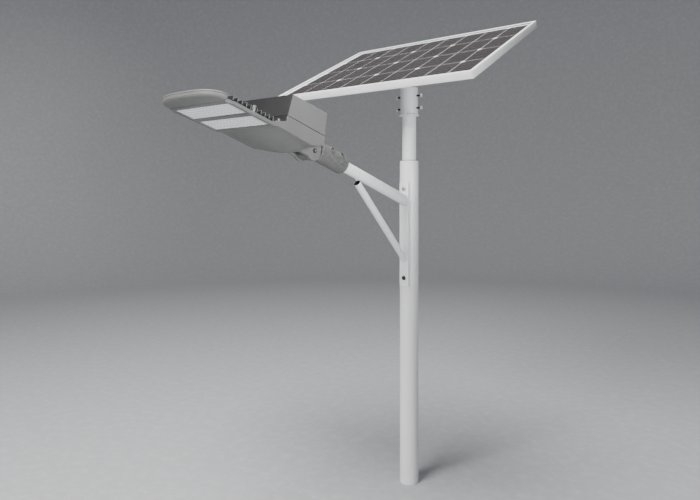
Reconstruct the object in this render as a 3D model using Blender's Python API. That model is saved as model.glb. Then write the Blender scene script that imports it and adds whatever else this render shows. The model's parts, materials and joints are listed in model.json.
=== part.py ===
"""Solar street lamp: a tilting panel on a pole top and a battery lamp head on a braced arm.

World frame: origin on the pole's axis at its lower end, +Z up, the lamp head towards -Y,
the panel's long edge along X.
"""

import math

import bmesh
import bpy
from mathutils import Matrix, Vector

GAP = 0.0003                     # clearance between pieces that touch
CLEAR = 0.0004                   # radial clearance of a bolt in its hole
TUBE_SIDES = 32
BOLT_SIDES = 12
NOSE_STEPS = 18

# Pole and mast
POLE_RADIUS = 0.035
POLE_WALL = 0.003
POLE_HEIGHT = 1.215
MAST_RADIUS = 0.026
MAST_WALL = 0.0025
MAST_BOTTOM = 1.050
MAST_TOP = 1.480
BUSH_HEIGHT = 0.030

# Arm bracket on the pole's -Y side
PLATE_HALF_WIDTH = 0.019
PLATE_THICKNESS = 0.0025
PLATE_FRONT = -0.038
PLATE_FLANGE_BACK = -0.0312
PLATE_BOTTOM = 0.744
PLATE_TOP = 1.132
PLATE_BOLT_HEIGHTS = {"upper": 1.109, "lower": 0.775}
PLATE_BOLT_RADIUS = 0.0040
PLATE_BOLT_LENGTH = 0.0110

# Arm, in its own frame: origin at the root, -Y along the arm towards the head
ARM_RISE = math.radians(16.7)
ARM_ROOT = Vector((0.0, PLATE_FRONT - GAP, 1.067))
ARM_LENGTH = 0.4960
ARM_ROOT_RADIUS = 0.0193
ARM_TIP_RADIUS = 0.0180
ARM_WALL = 0.0025
BRACE_RADIUS = 0.0120
BRACE_WALL = 0.0020
BRACE_FOOT_HEIGHT = 0.849
BRACE_TOP = Vector((0.0, -0.3357, 1.1248))

# Spigot clamp, in the arm's frame
CLAMP_RADIUS = 0.0315
CLAMP_MOUTH = -0.398
CLAMP_SHOULDER = -0.534
CLAMP_BORE_RADIUS = 0.0192
CLAMP_BORE_END = -0.500
CLAMP_BOLTS_Y = (-0.435, -0.488)
CLAMP_BOLTS_LEAN = math.radians(50.0)
CLAMP_BOLT_RADIUS = 0.0040
CLAMP_BOSS_RADIUS = 0.0105
CLAMP_BOSS_TOP = 0.0340
CLAMP_SEAT = 0.0290              # floor of the counterbore that hides the bolt's head
CLAMP_COUNTERBORE = 0.0078
CLAMP_BOSS_FOOT = 0.0240
CLAMP_BOLT_HEAD_RADIUS = 0.0068
TONGUE_HALF_WIDTH = 0.0165
TONGUE_RADIUS = 0.0290
TONGUE_OVERLAP = 0.0120          # how far the tongue's root reaches into the clamp's body

# Knuckle pivot of the head
HEAD_PIVOT = Vector((0.0, -0.5917, 1.2155))
HEAD_RISE = math.radians(15.2)
HEAD_BOLT_RADIUS = 0.0050
EAR_INNER = 0.0175
EAR_OUTER = 0.0310
EAR_RADIUS = 0.0300
HEAD_BOLT_HEAD_RADIUS = 0.0070
HEAD_BOLT_REACH = 0.0120         # how far the bolt passes the far ear

# Lamp head, in its own frame: origin on the pivot, -Y towards the tip, Z square to the light face
HEAD_HALF_WIDTH = 0.1125
LIGHT_FACE = -0.0213             # height of the lenses' outer face
RAIL_BOTTOM = LIGHT_FACE - 0.003
RAIL_TOP = LIGHT_FACE + 0.0050
LENS_HALF_WIDTH = 0.1005
LENS_LENGTH = 0.0620
LENS_THICKNESS = 0.0025
BOARD_THICKNESS = 0.0012
LENS_STARTS = {"front": -0.4046, "rear": -0.3250}
FRAME_FRONT = -0.4190
FRAME_REAR = -0.2530
FRAME_CORNER_X = 0.0075          # the frame's front corners are cut off
FRAME_CORNER_Y = 0.0200
TIP_HALF_WIDTH = 0.1145
TIP_FRONT = -0.4670
TIP_SQUARENESS = 2.7             # exponent of the nose's superellipse
TIP_TOP = LIGHT_FACE + 0.0130
FIN_COUNT = 5
FIN_PITCH = 0.0145
FIN_THICKNESS = 0.0030
FIN_TOP = LIGHT_FACE + 0.0180
FIN_DECK = 0.0015
POST_RADIUS = 0.0045
POST_RISE = 0.0040               # how far a post stands above the fins
FRAME_POST_Y = -0.3295
HOUSING_POST_Y = -0.2420
POST_X = HEAD_HALF_WIDTH - POST_RADIUS - 0.0006

# Rear casting and battery box, in the head's frame
APRON_TOP = LIGHT_FACE + 0.0180
HOUSING_FRONT = -0.2527
BOX_FRONT = -0.2170
HOUSING_REAR = -0.0550
SIDE_BOTTOM = LIGHT_FACE + 0.008
HOUSING_REAR_BOTTOM = LIGHT_FACE + 0.0130
PARTING = LIGHT_FACE + 0.0400
SHELL = 0.0030
BELLY_BOTTOM = LIGHT_FACE - 0.0210
COVER_BOTTOM = PARTING + 0.0016
COVER_TOP = LIGHT_FACE + 0.1105
COVER_TOP_FALL = 0.0050          # how much lower the box's front edge is
COVER_FRONT_LEAN = 0.0080
COVER_SIDE_LEAN = 0.0040
COVER_SCREW_INSET_X = 0.0180
COVER_SCREW_FRONT = 0.0240
COVER_SCREW_REAR = 0.0140
COVER_SCREW_RADIUS = 0.0020
COVER_SCREW_LENGTH = 0.0140
GASKET_INSET = 0.0006

# Battery and controller, as (half width, front, rear, bottom, top)
BATTERY = (0.0900, BOX_FRONT + 0.0140, HOUSING_REAR - 0.0080, PARTING - 0.0040, COVER_TOP - 0.0260)
CONTROLLER = (0.0400, -0.2000, -0.1400, BELLY_BOTTOM + 0.0090, LIGHT_FACE + 0.0120)

# Panel collar on the mast
COLLAR_RADIUS = 0.0330
COLLAR_BORE = 0.0266
COLLAR_BOTTOM = 1.3850
COLLAR_TOP = 1.4900
COLLAR_LIP_RADIUS = 0.0375
COLLAR_LIP_HEIGHT = 0.0025
COLLAR_BOLT_HEIGHTS = (1.4130, 1.4590)
COLLAR_BOLT_RADIUS = 0.0035
COLLAR_BOLT_REACH = 0.0500

# Panel tilt pivot
TILT_PIVOT = Vector((0.0, 0.0, 1.5180))
PANEL_TILT = math.radians(27.0)
YOKE_HALF_WIDTH = 0.0250
YOKE_THICKNESS = 0.0050
YOKE_BASE_HALF = 0.0270
YOKE_RADIUS = 0.0150
TILT_BOLT_RADIUS = 0.0050

# Panel, in its own frame: origin on the tilt pivot, X and Y in the panel's plane
PANEL_LENGTH = 0.812
PANEL_WIDTH = 0.617
PANEL_CENTRE_X = -0.0080
PANEL_CENTRE_Y = 0.0163
FRAME_HEIGHT = 0.025
FRAME_BOTTOM = 0.0550
FRAME_WALL = 0.0018
FRAME_LIP = 0.0100
FRAME_FLANGE = 0.0220
GLASS_THICKNESS = 0.0032
SHEET_THICKNESS = 0.0006
SUPPORT_SIZE = 0.0250
SUPPORT_THICKNESS = 0.0030
SUPPORT_LENGTH = PANEL_LENGTH - 0.0140
SUPPORT_OFFSET = 0.1200
SUPPORT_SNIP = 0.0580            # length of the slanted cut under each end of a support rail
SADDLE_HALF_LENGTH = 0.1500
SADDLE_HALF_WIDTH = 0.0310
SADDLE_THICKNESS = 0.0050
SADDLE_FLANGE_INNER = 0.0256
SADDLE_BOLT_X = 0.0180
PANEL_BOLT_RADIUS = 0.0030
SUPPORT_BOLT_REACH = 0.5 * PANEL_LENGTH - 0.0130
JUNCTION_HALF_WIDTH = 0.0550
JUNCTION_HALF_LENGTH = 0.0350
JUNCTION_HEIGHT = 0.0180
JUNCTION_WALL = 0.0030
JUNCTION_LID = 0.0025
JUNCTION_CENTRE_Y = PANEL_CENTRE_Y + 0.5 * PANEL_WIDTH - 0.0950
GLAND_RADIUS = 0.0060
GLAND_LENGTH = 0.0140
GLAND_X = 0.0300

WHITE_PAINT = ("white_paint", (0.86, 0.86, 0.87), 0.35, 0.0)
GALVANISED = ("galvanised_steel", (0.62, 0.63, 0.64), 0.45, 0.9)
DARK_STEEL = ("dark_steel", (0.12, 0.12, 0.13), 0.45, 0.8)
BRIGHT_STEEL = ("bright_steel", (0.70, 0.70, 0.72), 0.25, 1.0)
ALUMINIUM = ("aluminium", (0.80, 0.80, 0.80), 0.35, 0.9)
HEAD_PAINT = ("head_paint", (0.30, 0.30, 0.29), 0.50, 0.2)
LENS_PLASTIC = ("lens_plastic", (0.78, 0.78, 0.80), 0.20, 0.0)
BLACK_PLASTIC = ("black_plastic", (0.03, 0.03, 0.03), 0.50, 0.0)
RUBBER = ("rubber", (0.05, 0.05, 0.05), 0.80, 0.0)
GLASS = ("glass", (0.80, 0.85, 0.88), 0.05, 0.0)
CELLS = ("solar_cells", (0.05, 0.05, 0.07), 0.25, 0.0)
CIRCUIT_BOARD = ("circuit_board", (0.85, 0.86, 0.84), 0.40, 0.0)
BATTERY_WRAP = ("battery_wrap", (0.03, 0.10, 0.30), 0.35, 0.0)


def clear_scene():
    for item in list(bpy.data.objects):
        bpy.data.objects.remove(item, do_unlink=True)


def material(finish):
    """One Principled material from a finish: name, colour, roughness, metallic."""
    name, colour, roughness, metallic = finish
    made = bpy.data.materials.new(name)
    made.use_nodes = True
    shader = made.node_tree.nodes["Principled BSDF"]
    shader.inputs["Base Color"].default_value = (*colour, 1.0)
    shader.inputs["Roughness"].default_value = roughness
    shader.inputs["Metallic"].default_value = metallic
    return made


def empty(name, location, rotation=(0.0, 0.0, 0.0)):
    made = bpy.data.objects.new(name, None)
    bpy.context.scene.collection.objects.link(made)
    made.location = location
    made.rotation_euler = rotation
    return made


def place(name, mesh, finish=None, parent=None):
    """Links a mesh as an object; without a finish it is a helper for a Boolean."""
    mesh.name = name
    made = bpy.data.objects.new(name, mesh)
    bpy.context.scene.collection.objects.link(made)
    made.parent = parent
    if finish is None:
        made.hide_render = True
        made.display_type = "WIRE"
        return made
    mesh.materials.append(material(finish))
    mesh.shade_smooth()
    mesh.set_sharp_from_angle(angle=math.radians(35.0))
    return made


def boolean(target, helper, operation):
    modifier = target.modifiers.new(helper.name, "BOOLEAN")
    modifier.operation = operation
    modifier.solver = "EXACT"
    modifier.object = helper


def weld(target, mesh, parent=None):
    """Joins a helper mesh to the target, which becomes one body."""
    boolean(target, place(f"{target.name}_joined_{len(target.modifiers)}", mesh, None, parent), "UNION")


def cut(target, mesh, parent=None):
    boolean(target, place(f"{target.name}_cut_{len(target.modifiers)}", mesh, None, parent), "DIFFERENCE")


def mesh_from(builder):
    """A mesh from a function that fills a bmesh, with its faces turned outwards."""
    form = bmesh.new()
    builder(form)
    bmesh.ops.recalc_face_normals(form, faces=form.faces)
    mesh = bpy.data.meshes.new("mesh")
    form.to_mesh(mesh)
    form.free()
    return mesh


def skin(form, rings, loop=False):
    """Quads between rings of equal length; the ends are capped unless the rings close a loop."""
    rows = [[form.verts.new(point) for point in ring] for ring in rings]
    pairs = list(zip(rows, rows[1:]))
    if loop:
        pairs.append((rows[-1], rows[0]))
    else:
        form.faces.new(reversed(rows[0]))
        form.faces.new(rows[-1])
    count = len(rows[0])
    for lower, upper in pairs:
        for i in range(count):
            j = (i + 1) % count
            form.faces.new((lower[i], lower[j], upper[j], upper[i]))


def circle(radius, height, sides=TUBE_SIDES):
    angles = (2.0 * math.pi * i / sides for i in range(sides))
    return [Vector((radius * math.cos(a), radius * math.sin(a), height)) for a in angles]


def hexagon(radius, height):
    """A hexagon with a point at each corner and each side's middle, to meet a round ring."""
    corners = circle(radius, height, BOLT_SIDES)
    middles = circle(radius * math.cos(math.pi / 6.0), height, BOLT_SIDES)
    return [corners[i] if i % 2 == 0 else middles[i] for i in range(BOLT_SIDES)]


def tube(outer, inner, low, high):
    rings = [circle(outer, low), circle(outer, high), circle(inner, high), circle(inner, low)]
    return mesh_from(lambda form: skin(form, rings, loop=True))


def box_corners(low, high):
    x0, y0, z0 = low
    x1, y1, z1 = high
    return [[Vector(c) for c in ((x0, y0, z), (x1, y0, z), (x1, y1, z), (x0, y1, z))] for z in (z0, z1)]


def box(low, high):
    return mesh_from(lambda form: skin(form, box_corners(low, high)))


def boxes(pairs):
    def build(form):
        for low, high in pairs:
            skin(form, box_corners(low, high))
    return mesh_from(build)


def prism_rings(outline, low, high, axis):
    """The two end rings of an outline that is swept along X, Y or Z."""
    order = {"X": lambda a, b, t: (t, a, b), "Y": lambda a, b, t: (a, t, b), "Z": lambda a, b, t: (a, b, t)}
    return [[Vector(order[axis](a, b, t)) for a, b in outline] for t in (low, high)]


def prism(outline, low, high, axis):
    return mesh_from(lambda form: skin(form, prism_rings(outline, low, high, axis)))


def prisms(outline, spans, axis):
    def build(form):
        for low, high in spans:
            skin(form, prism_rings(outline, low, high, axis))
    return mesh_from(build)


def arc(radius, start_degrees, end_degrees, steps, centre=(0.0, 0.0)):
    step = (end_degrees - start_degrees) / steps
    angles = [math.radians(start_degrees + step * i) for i in range(steps + 1)]
    return [(centre[0] + radius * math.cos(a), centre[1] + radius * math.sin(a)) for a in angles]


def pins(holes, sides=16):
    """Cylinders for drilling: each hole is a start point, a direction, a length and a radius."""
    def build(form):
        for start, direction, length, radius in holes:
            turn = Vector((0.0, 0.0, 1.0)).rotation_difference(Vector(direction).normalized()).to_matrix()
            rings = [[Vector(start) + turn @ p for p in circle(radius, h, sides)] for h in (0.0, length)]
            skin(form, rings)
    return mesh_from(build)


def turned(sections, frame=Matrix.Identity(4)):
    """A bolt, nut or pin from rings along Z; each section is a height, a radius and hex or round."""
    shapes = {"hex": hexagon, "round": lambda r, h: circle(r, h, BOLT_SIDES)}
    rings = [[frame @ p for p in shapes[kind](radius, height)] for height, radius, kind in sections]
    return mesh_from(lambda form: skin(form, rings))


def hex_bolt(radius, length, frame):
    """Origin under the head, the shank along +Z and the head below it."""
    head = 0.65 * 2.0 * radius
    sections = [(-head, 1.55 * radius, "round"), (-0.8 * head, 1.9 * radius, "hex"),
                (0.0, 1.9 * radius, "hex"), (0.0, radius, "round"),
                (length - 0.3 * radius, radius, "round"), (length, 0.7 * radius, "round")]
    return turned(sections, frame)


def cap_screw(radius, head_radius, length, frame):
    """A round-headed screw with a hexagonal socket; the same axes as the hex bolt."""
    head = 1.1 * radius
    sections = [(-0.4 * head, 0.6 * radius, "hex"), (-head, 0.6 * radius, "hex"),
                (-head, 0.92 * head_radius, "round"), (-0.85 * head, head_radius, "round"),
                (0.0, head_radius, "round"), (0.0, radius, "round"), (length, radius, "round")]
    return turned(sections, frame)


def hex_nut(radius, frame):
    """A ring nut around Z from 0 to its own thickness."""
    height = 0.8 * 2.0 * radius
    outer = 1.9 * radius
    inner = radius + CLEAR
    rings = [hexagon(outer, 0.0), hexagon(outer, height), circle(inner, height, BOLT_SIDES),
             circle(inner, 0.0, BOLT_SIDES)]
    rings = [[frame @ p for p in ring] for ring in rings]
    return mesh_from(lambda form: skin(form, rings, loop=True))


def aim(start, direction):
    """A frame whose origin is the start point and whose Z runs along the direction."""
    turn = Vector((0.0, 0.0, 1.0)).rotation_difference(Vector(direction).normalized()).to_matrix().to_4x4()
    return Matrix.Translation(Vector(start)) @ turn


# ---------------------------------------------------------------- pole, mast and arm

def build_pole():
    pole = place("pole_tube", tube(POLE_RADIUS, POLE_RADIUS - POLE_WALL, 0.0, POLE_HEIGHT), WHITE_PAINT)
    bolt_holes = [((0.0, -POLE_RADIUS - 0.01, height), (0, 1, 0), 0.03, PLATE_BOLT_RADIUS + CLEAR)
                  for height in PLATE_BOLT_HEIGHTS.values()]
    cut(pole, pins(bolt_holes))

    place("mast_tube", tube(MAST_RADIUS, MAST_RADIUS - MAST_WALL, MAST_BOTTOM, MAST_TOP), WHITE_PAINT)
    outer = POLE_RADIUS - POLE_WALL - GAP
    inner = MAST_RADIUS + GAP
    place("mast_top_bush", tube(outer, inner, POLE_HEIGHT - BUSH_HEIGHT, POLE_HEIGHT), WHITE_PAINT)
    place("mast_foot_bush", tube(outer, inner, MAST_BOTTOM, MAST_BOTTOM + BUSH_HEIGHT), GALVANISED)


def build_back_plate():
    """A shallow channel that hugs the pole, with the arm and the brace welded to its web."""
    web_back = PLATE_FRONT + PLATE_THICKNESS
    edge = PLATE_HALF_WIDTH
    inner = PLATE_HALF_WIDTH - PLATE_THICKNESS
    outline = [(-edge, PLATE_FRONT), (edge, PLATE_FRONT), (edge, PLATE_FLANGE_BACK),
               (inner, PLATE_FLANGE_BACK), (inner, web_back), (-inner, web_back),
               (-inner, PLATE_FLANGE_BACK), (-edge, PLATE_FLANGE_BACK)]
    plate = place("arm_back_plate", prism(outline, PLATE_BOTTOM, PLATE_TOP, "Z"), WHITE_PAINT)
    holes = [((0.0, PLATE_FRONT - 0.01, height), (0, 1, 0), 0.02, PLATE_BOLT_RADIUS + CLEAR)
             for height in PLATE_BOLT_HEIGHTS.values()]
    cut(plate, pins(holes))
    for side, height in PLATE_BOLT_HEIGHTS.items():
        frame = aim((0.0, PLATE_FRONT - GAP, height), (0, 1, 0))
        place(f"arm_bolt_{side}", hex_bolt(PLATE_BOLT_RADIUS, PLATE_BOLT_LENGTH, frame), DARK_STEEL)


def tapered_tube(start, end, radius_start, radius_end, wall, foot_plane_y):
    """A tube between two points whose foot is trimmed to the plane y = foot_plane_y."""
    axis = (end - start).normalized()
    turn = Vector((0.0, 0.0, 1.0)).rotation_difference(axis).to_matrix()

    def foot(radius):
        ring = [start + turn @ p for p in circle(radius, 0.0)]
        return [p + axis * ((foot_plane_y - p.y) / axis.y) for p in ring]

    def tip(radius):
        return [end + turn @ p for p in circle(radius, 0.0)]

    rings = [foot(radius_start), tip(radius_end), tip(radius_end - wall), foot(radius_start - wall)]
    return mesh_from(lambda form: skin(form, rings, loop=True))


def build_arm():
    reach = Vector((0.0, -math.cos(ARM_RISE), math.sin(ARM_RISE))) * ARM_LENGTH
    mesh = tapered_tube(ARM_ROOT, ARM_ROOT + reach, ARM_ROOT_RADIUS, ARM_TIP_RADIUS, ARM_WALL, ARM_ROOT.y)
    place("arm_tube", mesh, WHITE_PAINT)
    brace_foot = Vector((0.0, ARM_ROOT.y, BRACE_FOOT_HEIGHT))
    mesh = tapered_tube(brace_foot, BRACE_TOP, BRACE_RADIUS, BRACE_RADIUS, BRACE_WALL, ARM_ROOT.y)
    place("brace_tube", mesh, WHITE_PAINT)


# ---------------------------------------------------------------- spigot clamp and knuckle

def pivot_in_arm():
    """The head pivot in the arm's frame, as (y, z)."""
    offset = Matrix.Rotation(ARM_RISE, 3, "X") @ (HEAD_PIVOT - ARM_ROOT)
    return offset.y, offset.z


def build_clamp(arm):
    body_rings = [[Vector((p.x, y, p.y)) for p in circle(CLAMP_RADIUS, 0.0)]
                  for y in (CLAMP_SHOULDER, CLAMP_MOUTH)]
    clamp = place("spigot_clamp", mesh_from(lambda form: skin(form, body_rings)), HEAD_PAINT, arm)

    pivot_y, pivot_z = pivot_in_arm()
    nose = arc(TONGUE_RADIUS, 115.0, 255.0, 12, (pivot_y, pivot_z))
    root = CLAMP_SHOULDER + TONGUE_OVERLAP
    outline = nose + [(root, -CLAMP_RADIUS + 0.002), (root, CLAMP_RADIUS - 0.011)]
    weld(clamp, prism(outline, -TONGUE_HALF_WIDTH, TONGUE_HALF_WIDTH, "X"), arm)

    lean = Vector((math.sin(CLAMP_BOLTS_LEAN), 0.0, math.cos(CLAMP_BOLTS_LEAN)))
    stations = [Vector((0.0, y, 0.0)) for y in CLAMP_BOLTS_Y]
    boss_height = CLAMP_BOSS_TOP - CLAMP_BOSS_FOOT
    bosses = [(at + lean * CLAMP_BOSS_FOOT, lean, boss_height, CLAMP_BOSS_RADIUS) for at in stations]
    weld(clamp, pins(bosses), arm)

    bore = ((0.0, CLAMP_BORE_END, 0.0), (0, 1, 0), 0.15, CLAMP_BORE_RADIUS)
    cut(clamp, pins([bore], TUBE_SIDES), arm)
    counterbores = [(at + lean * CLAMP_SEAT, lean, 0.02, CLAMP_COUNTERBORE) for at in stations]
    cut(clamp, pins(counterbores), arm)
    bolt_holes = [(at + lean * 0.010, lean, 0.022, CLAMP_BOLT_RADIUS + CLEAR) for at in stations]
    pivot_hole = ((-0.05, pivot_y, pivot_z), (1, 0, 0), 0.10, HEAD_BOLT_RADIUS + CLEAR)
    cut(clamp, pins(bolt_holes + [pivot_hole]), arm)

    for number, at in enumerate(stations, start=1):
        frame = aim(at + lean * (CLAMP_SEAT + GAP), -lean)
        reach = CLAMP_SEAT + GAP - ARM_ROOT_RADIUS - GAP
        screw = cap_screw(CLAMP_BOLT_RADIUS, CLAMP_BOLT_HEAD_RADIUS, reach, frame)
        place(f"clamp_bolt_{number}", screw, DARK_STEEL, arm)


def build_knuckle_bolt(head):
    frame = aim((EAR_OUTER + GAP, 0.0, 0.0), (-1, 0, 0))
    screw = cap_screw(HEAD_BOLT_RADIUS, HEAD_BOLT_HEAD_RADIUS, 2.0 * EAR_OUTER + HEAD_BOLT_REACH, frame)
    place("head_pivot_bolt", screw, BRIGHT_STEEL, head)
    nut_frame = aim((-EAR_OUTER - GAP, 0.0, 0.0), (-1, 0, 0))
    place("head_pivot_nut", hex_nut(HEAD_BOLT_RADIUS, nut_frame), BRIGHT_STEEL, head)


# ---------------------------------------------------------------- lamp head

def post_pair(y):
    """Screw posts on both sides of the head, a little taller than the fins."""
    foot = RAIL_TOP - 0.004
    height = FIN_TOP + POST_RISE - foot
    return pins([((x, y, foot), (0, 0, 1), height, POST_RADIUS) for x in (-POST_X, POST_X)], BOLT_SIDES)


def build_head_frame(head):
    """The cast frame around the two light modules: two rails, three cross bars and two screw posts."""
    side = HEAD_HALF_WIDTH
    nose = side - FRAME_CORNER_X
    corner = FRAME_FRONT + FRAME_CORNER_Y
    outline = [(-nose, FRAME_FRONT), (nose, FRAME_FRONT), (side, corner), (side, FRAME_REAR),
               (-side, FRAME_REAR), (-side, corner)]
    frame = place("head_frame", prism(outline, RAIL_BOTTOM, RAIL_TOP, "Z"), HEAD_PAINT, head)
    weld(frame, post_pair(FRAME_POST_Y), head)
    opening = LENS_HALF_WIDTH + GAP
    windows = [((-opening, start - GAP, RAIL_BOTTOM - 0.01),
                (opening, start + LENS_LENGTH + GAP, RAIL_TOP + 0.01)) for start in LENS_STARTS.values()]
    cut(frame, boxes(windows), head)


def build_module(name, start, head):
    """Lens plate, LED board and finned heat sink, from the light face upwards."""
    end = start + LENS_LENGTH
    lens_low = LIGHT_FACE - 0.0010
    board_low = lens_low + LENS_THICKNESS
    sink_low = board_low + BOARD_THICKNESS + GAP
    lens = box((-LENS_HALF_WIDTH, start, lens_low), (LENS_HALF_WIDTH, end, board_low - GAP))
    place(f"lens_plate_{name}", lens, LENS_PLASTIC, head)
    board_half = LENS_HALF_WIDTH - 0.002
    board = box((-board_half, start + 0.002, board_low),
                (board_half, end - 0.002, board_low + BOARD_THICKNESS))
    place(f"led_board_{name}", board, CIRCUIT_BOARD, head)

    deck_low = RAIL_TOP + GAP
    deck_top = deck_low + FIN_DECK
    middle = 0.5 * (start + end)
    half_deck = 0.5 * (FIN_COUNT - 1) * FIN_PITCH + 0.5 * FIN_THICKNESS
    comb = [(middle - half_deck, deck_low), (middle + half_deck, deck_low)]
    for i in reversed(range(FIN_COUNT)):
        centre = middle + (i - 0.5 * (FIN_COUNT - 1)) * FIN_PITCH
        right = centre + 0.5 * FIN_THICKNESS
        left = centre - 0.5 * FIN_THICKNESS
        comb += [(right, deck_top)] if i < FIN_COUNT - 1 else []
        comb += [(right, FIN_TOP), (left, FIN_TOP)]
        comb += [(left, deck_top)] if i > 0 else []
    sink = place(f"heat_sink_{name}", prism(comb, -HEAD_HALF_WIDTH, HEAD_HALF_WIDTH, "X"), HEAD_PAINT, head)
    core = box((-LENS_HALF_WIDTH + 0.001, start + 0.001, sink_low),
               (LENS_HALF_WIDTH - 0.001, end - 0.001, deck_low + 0.0008))
    weld(sink, core, head)


def nose_outline(inset):
    """Half a superellipse from one side of the head round the nose to the other, as (x, y)."""
    half = TIP_HALF_WIDTH - inset
    back = FRAME_FRONT - GAP
    depth = back - TIP_FRONT - inset
    power = 2.0 / TIP_SQUARENESS
    points = []
    for i in range(NOSE_STEPS + 1):
        angle = math.pi * i / NOSE_STEPS
        x = math.copysign(abs(math.cos(angle)) ** power, math.cos(angle))
        points.append((half * x, back - depth * math.sin(angle) ** power))
    return points


def build_tip(head):
    """The rounded nose ahead of the light modules: a flat underside that flares up to a rim."""
    levels = ((RAIL_BOTTOM, 0.0105), (RAIL_BOTTOM + 0.0040, 0.0050),
              (TIP_TOP - 0.0040, 0.0010), (TIP_TOP, 0.0))
    rings = [[Vector((x, y, z)) for x, y in nose_outline(inset)] for z, inset in levels]
    place("tip_cap", mesh_from(lambda form: skin(form, rings)), HEAD_PAINT, head)


def build_housing(head):
    """The rear casting: a tray for the electronics, a swollen belly and the two knuckle ears."""
    side = [(HOUSING_FRONT, RAIL_BOTTOM), (HOUSING_FRONT, APRON_TOP - 0.006), (BOX_FRONT, APRON_TOP + 0.006),
            (BOX_FRONT, PARTING), (HOUSING_REAR, PARTING), (HOUSING_REAR, HOUSING_REAR_BOTTOM),
            (BOX_FRONT, SIDE_BOTTOM), (BOX_FRONT - 0.020, RAIL_BOTTOM)]
    housing = place("head_housing", prism(side, -HEAD_HALF_WIDTH, HEAD_HALF_WIDTH, "X"), HEAD_PAINT, head)

    belly_levels = ((SIDE_BOTTOM + 0.006, HEAD_HALF_WIDTH - 0.002, -0.2500, -0.0600),
                    (RAIL_BOTTOM - 0.001, 0.0980, -0.2480, -0.0850),
                    (BELLY_BOTTOM + 0.005, 0.0780, -0.2340, -0.1150),
                    (BELLY_BOTTOM, 0.0550, -0.2150, -0.1400))
    rings = [[Vector(c) for c in ((-half, y0, z), (half, y0, z), (half, y1, z), (-half, y1, z))]
             for z, half, y0, y1 in belly_levels]
    weld(housing, mesh_from(lambda form: skin(form, rings)), head)

    weld(housing, post_pair(HOUSING_POST_Y), head)
    ear = arc(EAR_RADIUS, 100.0, -130.0, 18)
    ear += [(-0.072, LIGHT_FACE + 0.006), (-0.100, SIDE_BOTTOM + 0.004), (-0.060, LIGHT_FACE + 0.036)]
    weld(housing, prisms(ear, ((-EAR_OUTER, -EAR_INNER), (EAR_INNER, EAR_OUTER)), "X"), head)

    inner = HEAD_HALF_WIDTH - SHELL
    floor = SIDE_BOTTOM + 0.008
    well = (0.085, -0.226, -0.105)
    pit = (0.060, -0.214, -0.140)
    cut(housing, box((-inner, BOX_FRONT + SHELL, floor), (inner, HOUSING_REAR - SHELL, PARTING + 0.01)), head)
    for (half, front, rear), low, high in ((well, LIGHT_FACE, floor + 0.002),
                                           (pit, BELLY_BOTTOM + 0.004, LIGHT_FACE + 0.002)):
        cut(housing, box((-half, front, low), (half, rear, high)), head)
    pivot_hole = ((-0.05, 0.0, 0.0), (1, 0, 0), 0.10, HEAD_BOLT_RADIUS + CLEAR)
    cut(housing, pins([pivot_hole]), head)


def cover_ring(height, inset):
    """One rectangle of the battery cover, leaning in and falling to the front with height."""
    share = (height - COVER_BOTTOM) / (COVER_TOP - COVER_BOTTOM)
    half = HEAD_HALF_WIDTH - COVER_SIDE_LEAN * share - inset
    front = BOX_FRONT + COVER_FRONT_LEAN * share + inset
    back = HOUSING_REAR - inset
    low = height - COVER_TOP_FALL * share
    corners = ((-half, front, low), (half, front, low), (half, back, height), (-half, back, height))
    return [Vector(corner) for corner in corners]


def cover_top_at(y):
    """Height of the cover's sloping top above a place along the head."""
    front = BOX_FRONT + COVER_FRONT_LEAN
    return COVER_TOP - COVER_TOP_FALL * (HOUSING_REAR - y) / (HOUSING_REAR - front)


def build_cover(head):
    rings = [cover_ring(COVER_TOP - SHELL, SHELL), cover_ring(COVER_BOTTOM, SHELL),
             cover_ring(COVER_BOTTOM, 0.0), cover_ring(COVER_TOP, 0.0)]
    cover = place("battery_cover", mesh_from(lambda form: skin(form, rings)), HEAD_PAINT, head)
    screw_x = HEAD_HALF_WIDTH - COVER_SCREW_INSET_X
    xs = (-screw_x, screw_x)
    ys = (BOX_FRONT + COVER_SCREW_FRONT, HOUSING_REAR - COVER_SCREW_REAR)
    spots = [(x, y) for x in xs for y in ys]
    holes = [((x, y, cover_top_at(y) - 0.01), (0, 0, 1), 0.02, COVER_SCREW_RADIUS + CLEAR) for x, y in spots]
    cut(cover, pins(holes, BOLT_SIDES), head)
    for number, (x, y) in enumerate(spots, start=1):
        frame = aim((x, y, cover_top_at(y) + 2.0 * GAP), (0, 0, -1))
        sections = [(-0.0028, 0.0030, "round"), (-0.0022, 0.0042, "round"), (0.0, 0.0044, "round"),
                    (0.0, COVER_SCREW_RADIUS, "round"), (COVER_SCREW_LENGTH, COVER_SCREW_RADIUS, "round")]
        place(f"cover_screw_{number}", turned(sections, frame), BRIGHT_STEEL, head)

    outer = HEAD_HALF_WIDTH - GASKET_INSET
    inner = HEAD_HALF_WIDTH - SHELL + 0.0004
    front = BOX_FRONT + GASKET_INSET
    rear = HOUSING_REAR - GASKET_INSET
    wall = outer - inner
    low = PARTING + GAP
    high = COVER_BOTTOM - GAP

    def rectangle(inset, height):
        x = outer - inset
        y0 = front + inset
        y1 = rear - inset
        return [Vector(c) for c in ((-x, y0, height), (x, y0, height), (x, y1, height), (-x, y1, height))]

    rings = [rectangle(0.0, low), rectangle(0.0, high), rectangle(wall, high), rectangle(wall, low)]
    place("cover_gasket", mesh_from(lambda form: skin(form, rings, loop=True)), RUBBER, head)


def build_electronics(head):
    for name, block, finish in (("battery_pack", BATTERY, BATTERY_WRAP),
                                ("charge_controller", CONTROLLER, BLACK_PLASTIC)):
        half, front, rear, low, high = block
        place(name, box((-half, front, low), (half, rear, high)), finish, head)


# ---------------------------------------------------------------- panel collar and tilt yoke

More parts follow.
